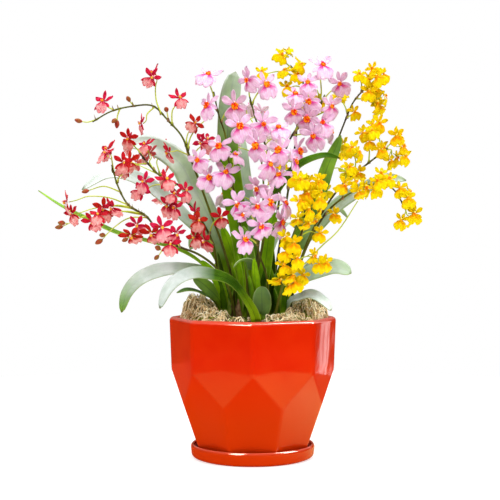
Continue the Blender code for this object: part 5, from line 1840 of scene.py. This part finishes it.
def bloom_form(colour, number):
    """One open bloom that looks along +Z with its lip toward -Y."""
    shape = BLOOM_SHAPES[colour]
    draw = random.Random(70 + number)

    def vary(value, share=0.07):
        return value * draw.uniform(1 - share, 1 + share)

    length, width = shape["sepals"]
    sheets = [petal_sheet("sepal", draw.uniform(-7, 7), vary(length), vary(width),
                          draw.uniform(-0.05, 0.4), 0.2, 0.3, shape["blunt"])]
    for side in (-1, 1):
        low = side * vary(shape["low_angle"])
        sheets.append(petal_sheet("sepal", low, vary(length), vary(width),
                                  draw.uniform(-0.3, 0.05), 0.2, 0.3, shape["blunt"]))
    angle, length, width = shape["petals"]
    for side in (-1, 1):
        sheets.append(petal_sheet("petal", side * vary(angle, 0.12), vary(length),
                                  vary(width), draw.uniform(-0.15, 0.35),
                                  shape["ruffle"], 0.15, shape["blunt"]))
    length, width, notch, droop, ruffle, neck = shape["lip"]
    lip = lip_sheet(vary(length), vary(width), notch, vary(droop, 0.5), vary(ruffle), neck)
    crest = crest_piece(draw, vary(shape["crest"], 0.2))
    tall, half = shape["column"]
    column = ball("column", (0, half, 2.0 + 0.3 * tall), (half, half, tall), 10, 8)
    pieces = [*sheets, lip, crest, column]
    for piece, kind in zip(pieces, [0] * len(sheets) + [1, 2, 3]):
        for material_of_bloom in PETALS[colour]:
            piece.data.materials.append(material_of_bloom)
        for polygon in piece.data.polygons:
            polygon.material_index = kind
    return joined(pieces, f"{colour}_bloom_{number}")


def bud_form(colour):
    """A bud with its three seams, of length 1 along +Z and centred on its widest place."""
    half = BUD_HALF_WIDTH / BUD_LENGTH
    bud = ball(f"{colour}_bud", (0, 0, 0), (1, 1, 1), 18, 12)
    for vert in bud.data.vertices:
        x, y, z = vert.co / MM
        seam = 1 - 0.10 * abs(math.cos(1.5 * math.atan2(y, x))) ** 8
        nose = 1 - 0.25 * max(0.0, z) - 0.12 * max(0.0, -z)
        wide = half * seam * nose
        vert.co = Vector((x * wide, y * wide * 0.92, z * 0.5)) * MM
    bud.data.materials.append(BUDS[colour])
    return bud


def sway(head, draw):
    """Turns a bloom a little more, as far as its stalk can still reach it from behind."""
    upright = across(Vector((0, 0, 1)), head["face"])
    level = upright.cross(head["face"])
    up = upright * math.cos(head["roll"]) + level * math.sin(head["roll"])
    most = BLOOM_SHAPES[head["colour"]]["sway"]
    yaw = Matrix.Rotation(draw.uniform(-most, most), 3, up)
    lean = draw.uniform(-NOD_SHARE, NOD_SHARE) * most
    nod = Matrix.Rotation(lean, 3, up.cross(head["face"]))
    face = yaw @ nod @ head["face"]
    if face.dot(head["stalk"]) > LEAST_LEAN_FROM_STALK:
        head["face"], up = face, yaw @ nod @ up
    head["up"] = across(up, head["face"])


def inside_box(place, form):
    """Whether a copy of the form at this place stays inside the solids' box."""
    low, high = cad_box
    for vert in form.data.vertices:
        at = place @ vert.co
        if any(at[i] < low[i] or at[i] > high[i] for i in range(3)):
            return False
    return True


def bloom_copy(head, form, draw):
    """A bloom or bud on the end of its stalk, smaller where the solids' box ends."""
    if head["shape"] == "bloom":
        shape = BLOOM_SHAPES[head["colour"]]
        up, face = head["up"], head["face"]
        right = up.cross(face)
        size = head["size"] / BLOOMS[head["colour"]]["reach"] * shape["grown"]
    else:
        face = head["stalk"]
        right = face.orthogonal().normalized()
        up = face.cross(right)
        size = head["size"] * BUD_LENGTH
    place = framed(head["place"], right, up, face, size)
    while not inside_box(place, form):
        size *= SMALLER_BY
        place = framed(head["place"], right, up, face, size)
    return copy_of(form, place, draw.random())


FORMS = {}
for colour in BLOOMS:
    FORMS[colour] = {
        "bloom": [bloom_form(colour, number) for number in range(BLOOM_FORMS)],
        "bud": [bud_form(colour)],
    }
BRACT_FORM = bract_form()
BRACT_FORM.data.materials.append(BRACT)

HEADS = all_heads()
for name, spray in SPRAYS.items():
    own = [head for head in HEADS if head["owner"] == name]
    twigs = [head for head in own if len(head["path"]) > 2]
    draw = random.Random(spray["seed"] + 1000)
    for head in own:
        sway(head, draw)
    stem = tubes(name + "_stem", [main_route(spray, twigs)], 2)
    stem.data.materials.append(STEM)
    stalks = tubes(name + "_stalks", [stalk_route(head) for head in own], 1)
    stalks.data.materials.append(TWIG)
    bracts = []
    for head in twigs:
        root, after = head["path"][0], head["path"][1]
        toward = (after - root).normalized()
        way = across(Vector((0, 0, 1)), toward.cross(Vector((0.01, 0.02, 1))))
        bracts.append(copy_of(BRACT_FORM, bract_place(root, way, toward)))
    plant = joined([stem, stalks, *bracts], name + "_stems")
    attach(plant, "root")
    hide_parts(name)
    copies = []
    for head in own:
        form = draw.choice(FORMS[spray["colour"]][head["shape"]])
        copies.append(bloom_copy(head, form, draw))
    blooms = joined(copies, name + "_blooms")
    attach(blooms, "root")
    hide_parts(name)

scrap([form for kinds in FORMS.values() for forms in kinds.values() for form in forms])
scrap([BRACT_FORM])

# The spent stem
# A flower stem of the yellow plant that has dropped its blooms. It is green and wiry, and
# stands in the mix in front of the plant's sprays.
SPENT_STEM_POINTS = 24
SPENT_STEM = [(34, 148, -14), (42, 183, -18), (53, 194, -22), (69, 211, -26), (86, 227, -30),
              (105, 256, -34)]
spent_way = smooth_path([seen(*place) for place in SPENT_STEM], SPENT_STEM_POINTS)
last = SPENT_STEM_POINTS - 1
spent = tubes("spent_stem", [(spent_way, [0.95 - 0.4 * i / last for i in range(last + 1)])], 2)
spent.data.materials.append(TWIG)
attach(spent, "root")

# The studio
# A pale table top under a soft dome, with windows in front, above and at both sides. Some of
# these light the glazed ware alone, and only its shine shows the table as a warm card, a
# painted reflection: pale and warm in front and to the right, deep red elsewhere. The camera
# is a short telephoto.
CAMERA_PLACE = Vector((-0.0027, -1.22, 0.227))
CAMERA_AIM = Vector((-0.0027, 0.0, 0.207))
CAMERA_LENS = 87.8
CAMERA_SENSOR = 36.0
TABLE_RADIUS = 0.75
TABLE_SIDES = 96
# The deep red of the table in the glaze's shine: a painted reflection.
PAINTED_RED_REFLECTION = (0.50, 0.07, 0.02)
# Three narrow strips of light at the right, upright and side by side.
STRIP_MIDDLE = Vector((0.3696, 0.3075, 0.27))
STRIP_AIM = Vector((0.072, -0.03, 0.27))
STRIP_WAY = Vector((0.75, -0.661, 0))
STRIP_HEIGHT = 0.52
# How far each strip lies along their way and how wide it is, in millimetres, and its watts.
STRIPS = ((9.8, 9.5, 0.022), (-2.6, 9.2, 0.028), (-12.6, 3.8, 0.015))

bpy.ops.mesh.primitive_circle_add(
    vertices=TABLE_SIDES, radius=TABLE_RADIUS, fill_type="NGON"
)
floor = bpy.context.object
floor.name = "table_top"
pale, tree, shader = material("pale_table")
mirrored = node(tree, "ShaderNodeLightPath").outputs["Is Glossy Ray"]
speck = mottle(tree, (0.55, 0.55, 0.55), (0.58, 0.58, 0.58), 8.0)["Colour"]
place = own_place(tree)
right, back, _ = parts_of(tree, place)
away = node(tree, "ShaderNodeVectorMath", {0: place}, operation="LENGTH").outputs["Value"]
# In the glaze's shine alone the table is a painted reflection: pale and warm to the right and in front, or
# else deep red.
to_left = ranged(tree, right, -0.02, -0.13)
to_right = ranged(tree, right, 0.02, 0.15)
inner = mixed(tree, to_left, (0.50, 0.06, 0.0), (0.72, 0.08, 0.0))
inner = mixed(tree, to_right, inner, (1.0, 0.80, 0.32))
outer = mixed(tree, ranged(tree, right, -0.1, 0.1), (0.8, 0.46, 0.14), (0.9, 0.72, 0.22))
outer = mixed(tree, ranged(tree, back, -0.04, -0.14), PAINTED_RED_REFLECTION, outer)
painted_reflection = mixed(tree, ranged(tree, away, 0.17, 0.25), inner, outer)
painted_reflection = mixed(tree, ranged(tree, away, 0.42, 0.50), painted_reflection, PAINTED_RED_REFLECTION)
fill(tree, shader, {
    "Base Color": mixed(tree, mirrored, speck, painted_reflection),
    "Roughness": 0.7,
    "Specular IOR Level": 0.1,
    "Emission Color": WHITE,
    "Emission Strength": ranged(tree, mirrored, 0.0, 1.0, 0.6, 0.0),
})
floor.data.materials.append(pale)
floor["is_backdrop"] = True

world = bpy.data.worlds.new("soft_dome")
bpy.context.scene.world = world
world.use_nodes = True
tree = world.node_tree
tree.nodes.clear()
way = node(tree, "ShaderNodeTexCoord").outputs["Generated"]
high = ranged(tree, parts_of(tree, way)["Z"], 0.12, 0.75)
glow = mixed(tree, high, (0.24, 0.065, 0.02), WHITE)
ray = node(tree, "ShaderNodeLightPath").outputs["Is Camera Ray"]
sky = mixed(tree, ray, glow, WHITE)
light = node(tree, "ShaderNodeBackground", {"Color": sky, "Strength": 1.0})
node(tree, "ShaderNodeOutputWorld", {"Surface": light.outputs["Background"]})

glazed = bpy.data.collections.new("glazed")
glazed.objects.link(pot)
glazed.objects.link(saucer)


def window(name, place, aim, size, power, shine=True, fill=True, glaze=False):
    """A rectangular soft light that looks at a point. Without shine it isn't mirrored, and
    without fill it is only mirrored, in the glaze. With glaze it lights the glaze alone."""
    lamp = bpy.data.lights.new(name, "AREA")
    lamp.shape = "RECTANGLE"
    lamp.size, lamp.size_y = size
    lamp.energy = power
    made = bpy.data.objects.new(name, lamp)
    made.location = place
    made.rotation_euler = (Vector(aim) - Vector(place)).to_track_quat("-Z", "Y").to_euler()
    made.visible_camera = False
    made.visible_glossy = shine
    made.visible_diffuse = fill
    if glaze or not fill:
        made.light_linking.receiver_collection = glazed
    bpy.context.scene.collection.objects.link(made)


window("front_window", (-0.75, -1.6, 1.4), (0, 0, 0.2), (0.5, 0.8), 17, shine=False)
window("top_window", (0.1, 0.0, 1.6), (0, 0, 0.2), (1.2, 1.2), 18)
window("corner_window", (1.15, -0.75, 0.8), (0, 0, 0.14), (0.35, 0.8), 8, shine=False)
window("left_window", (-1.4, -0.5, 0.5), (0, 0, 0.1), (0.6, 0.6), 2.4, shine=False, glaze=True)
window("low_window", (1.1, -0.6, 0.16), (0, 0, 0.06), (0.5, 0.25), 0.8, shine=False)
window("left_shine", (-0.57, -0.82, 1.05), (0, 0, 0.1), (0.55, 1.05), 60, fill=False)
window("right_shine", (0.98, -0.10, 1.05), (0, 0, 0.1), (0.7, 0.9), 75, fill=False)
for number, (offset, width, power) in enumerate(STRIPS):
    shift = STRIP_WAY * offset * MM
    size = (width * MM, STRIP_HEIGHT)
    window(f"side_shine_{number}", STRIP_MIDDLE + shift, STRIP_AIM + shift, size, power,
           fill=False)

bpy.context.scene.view_settings.view_transform = "Standard"
lens = bpy.data.cameras.new("camera")
lens.lens = CAMERA_LENS
lens.sensor_width = CAMERA_SENSOR
camera = bpy.data.objects.new("camera", lens)
camera.location = CAMERA_PLACE
camera.rotation_euler = (CAMERA_AIM - CAMERA_PLACE).to_track_quat("-Z", "Y").to_euler()
bpy.context.scene.collection.objects.link(camera)
bpy.context.scene.camera = camera

boxes = {"cad": cad_box, "visual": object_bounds()}
{k: [[float(c) for c in corner] for corner in v] for k, v in boxes.items()}
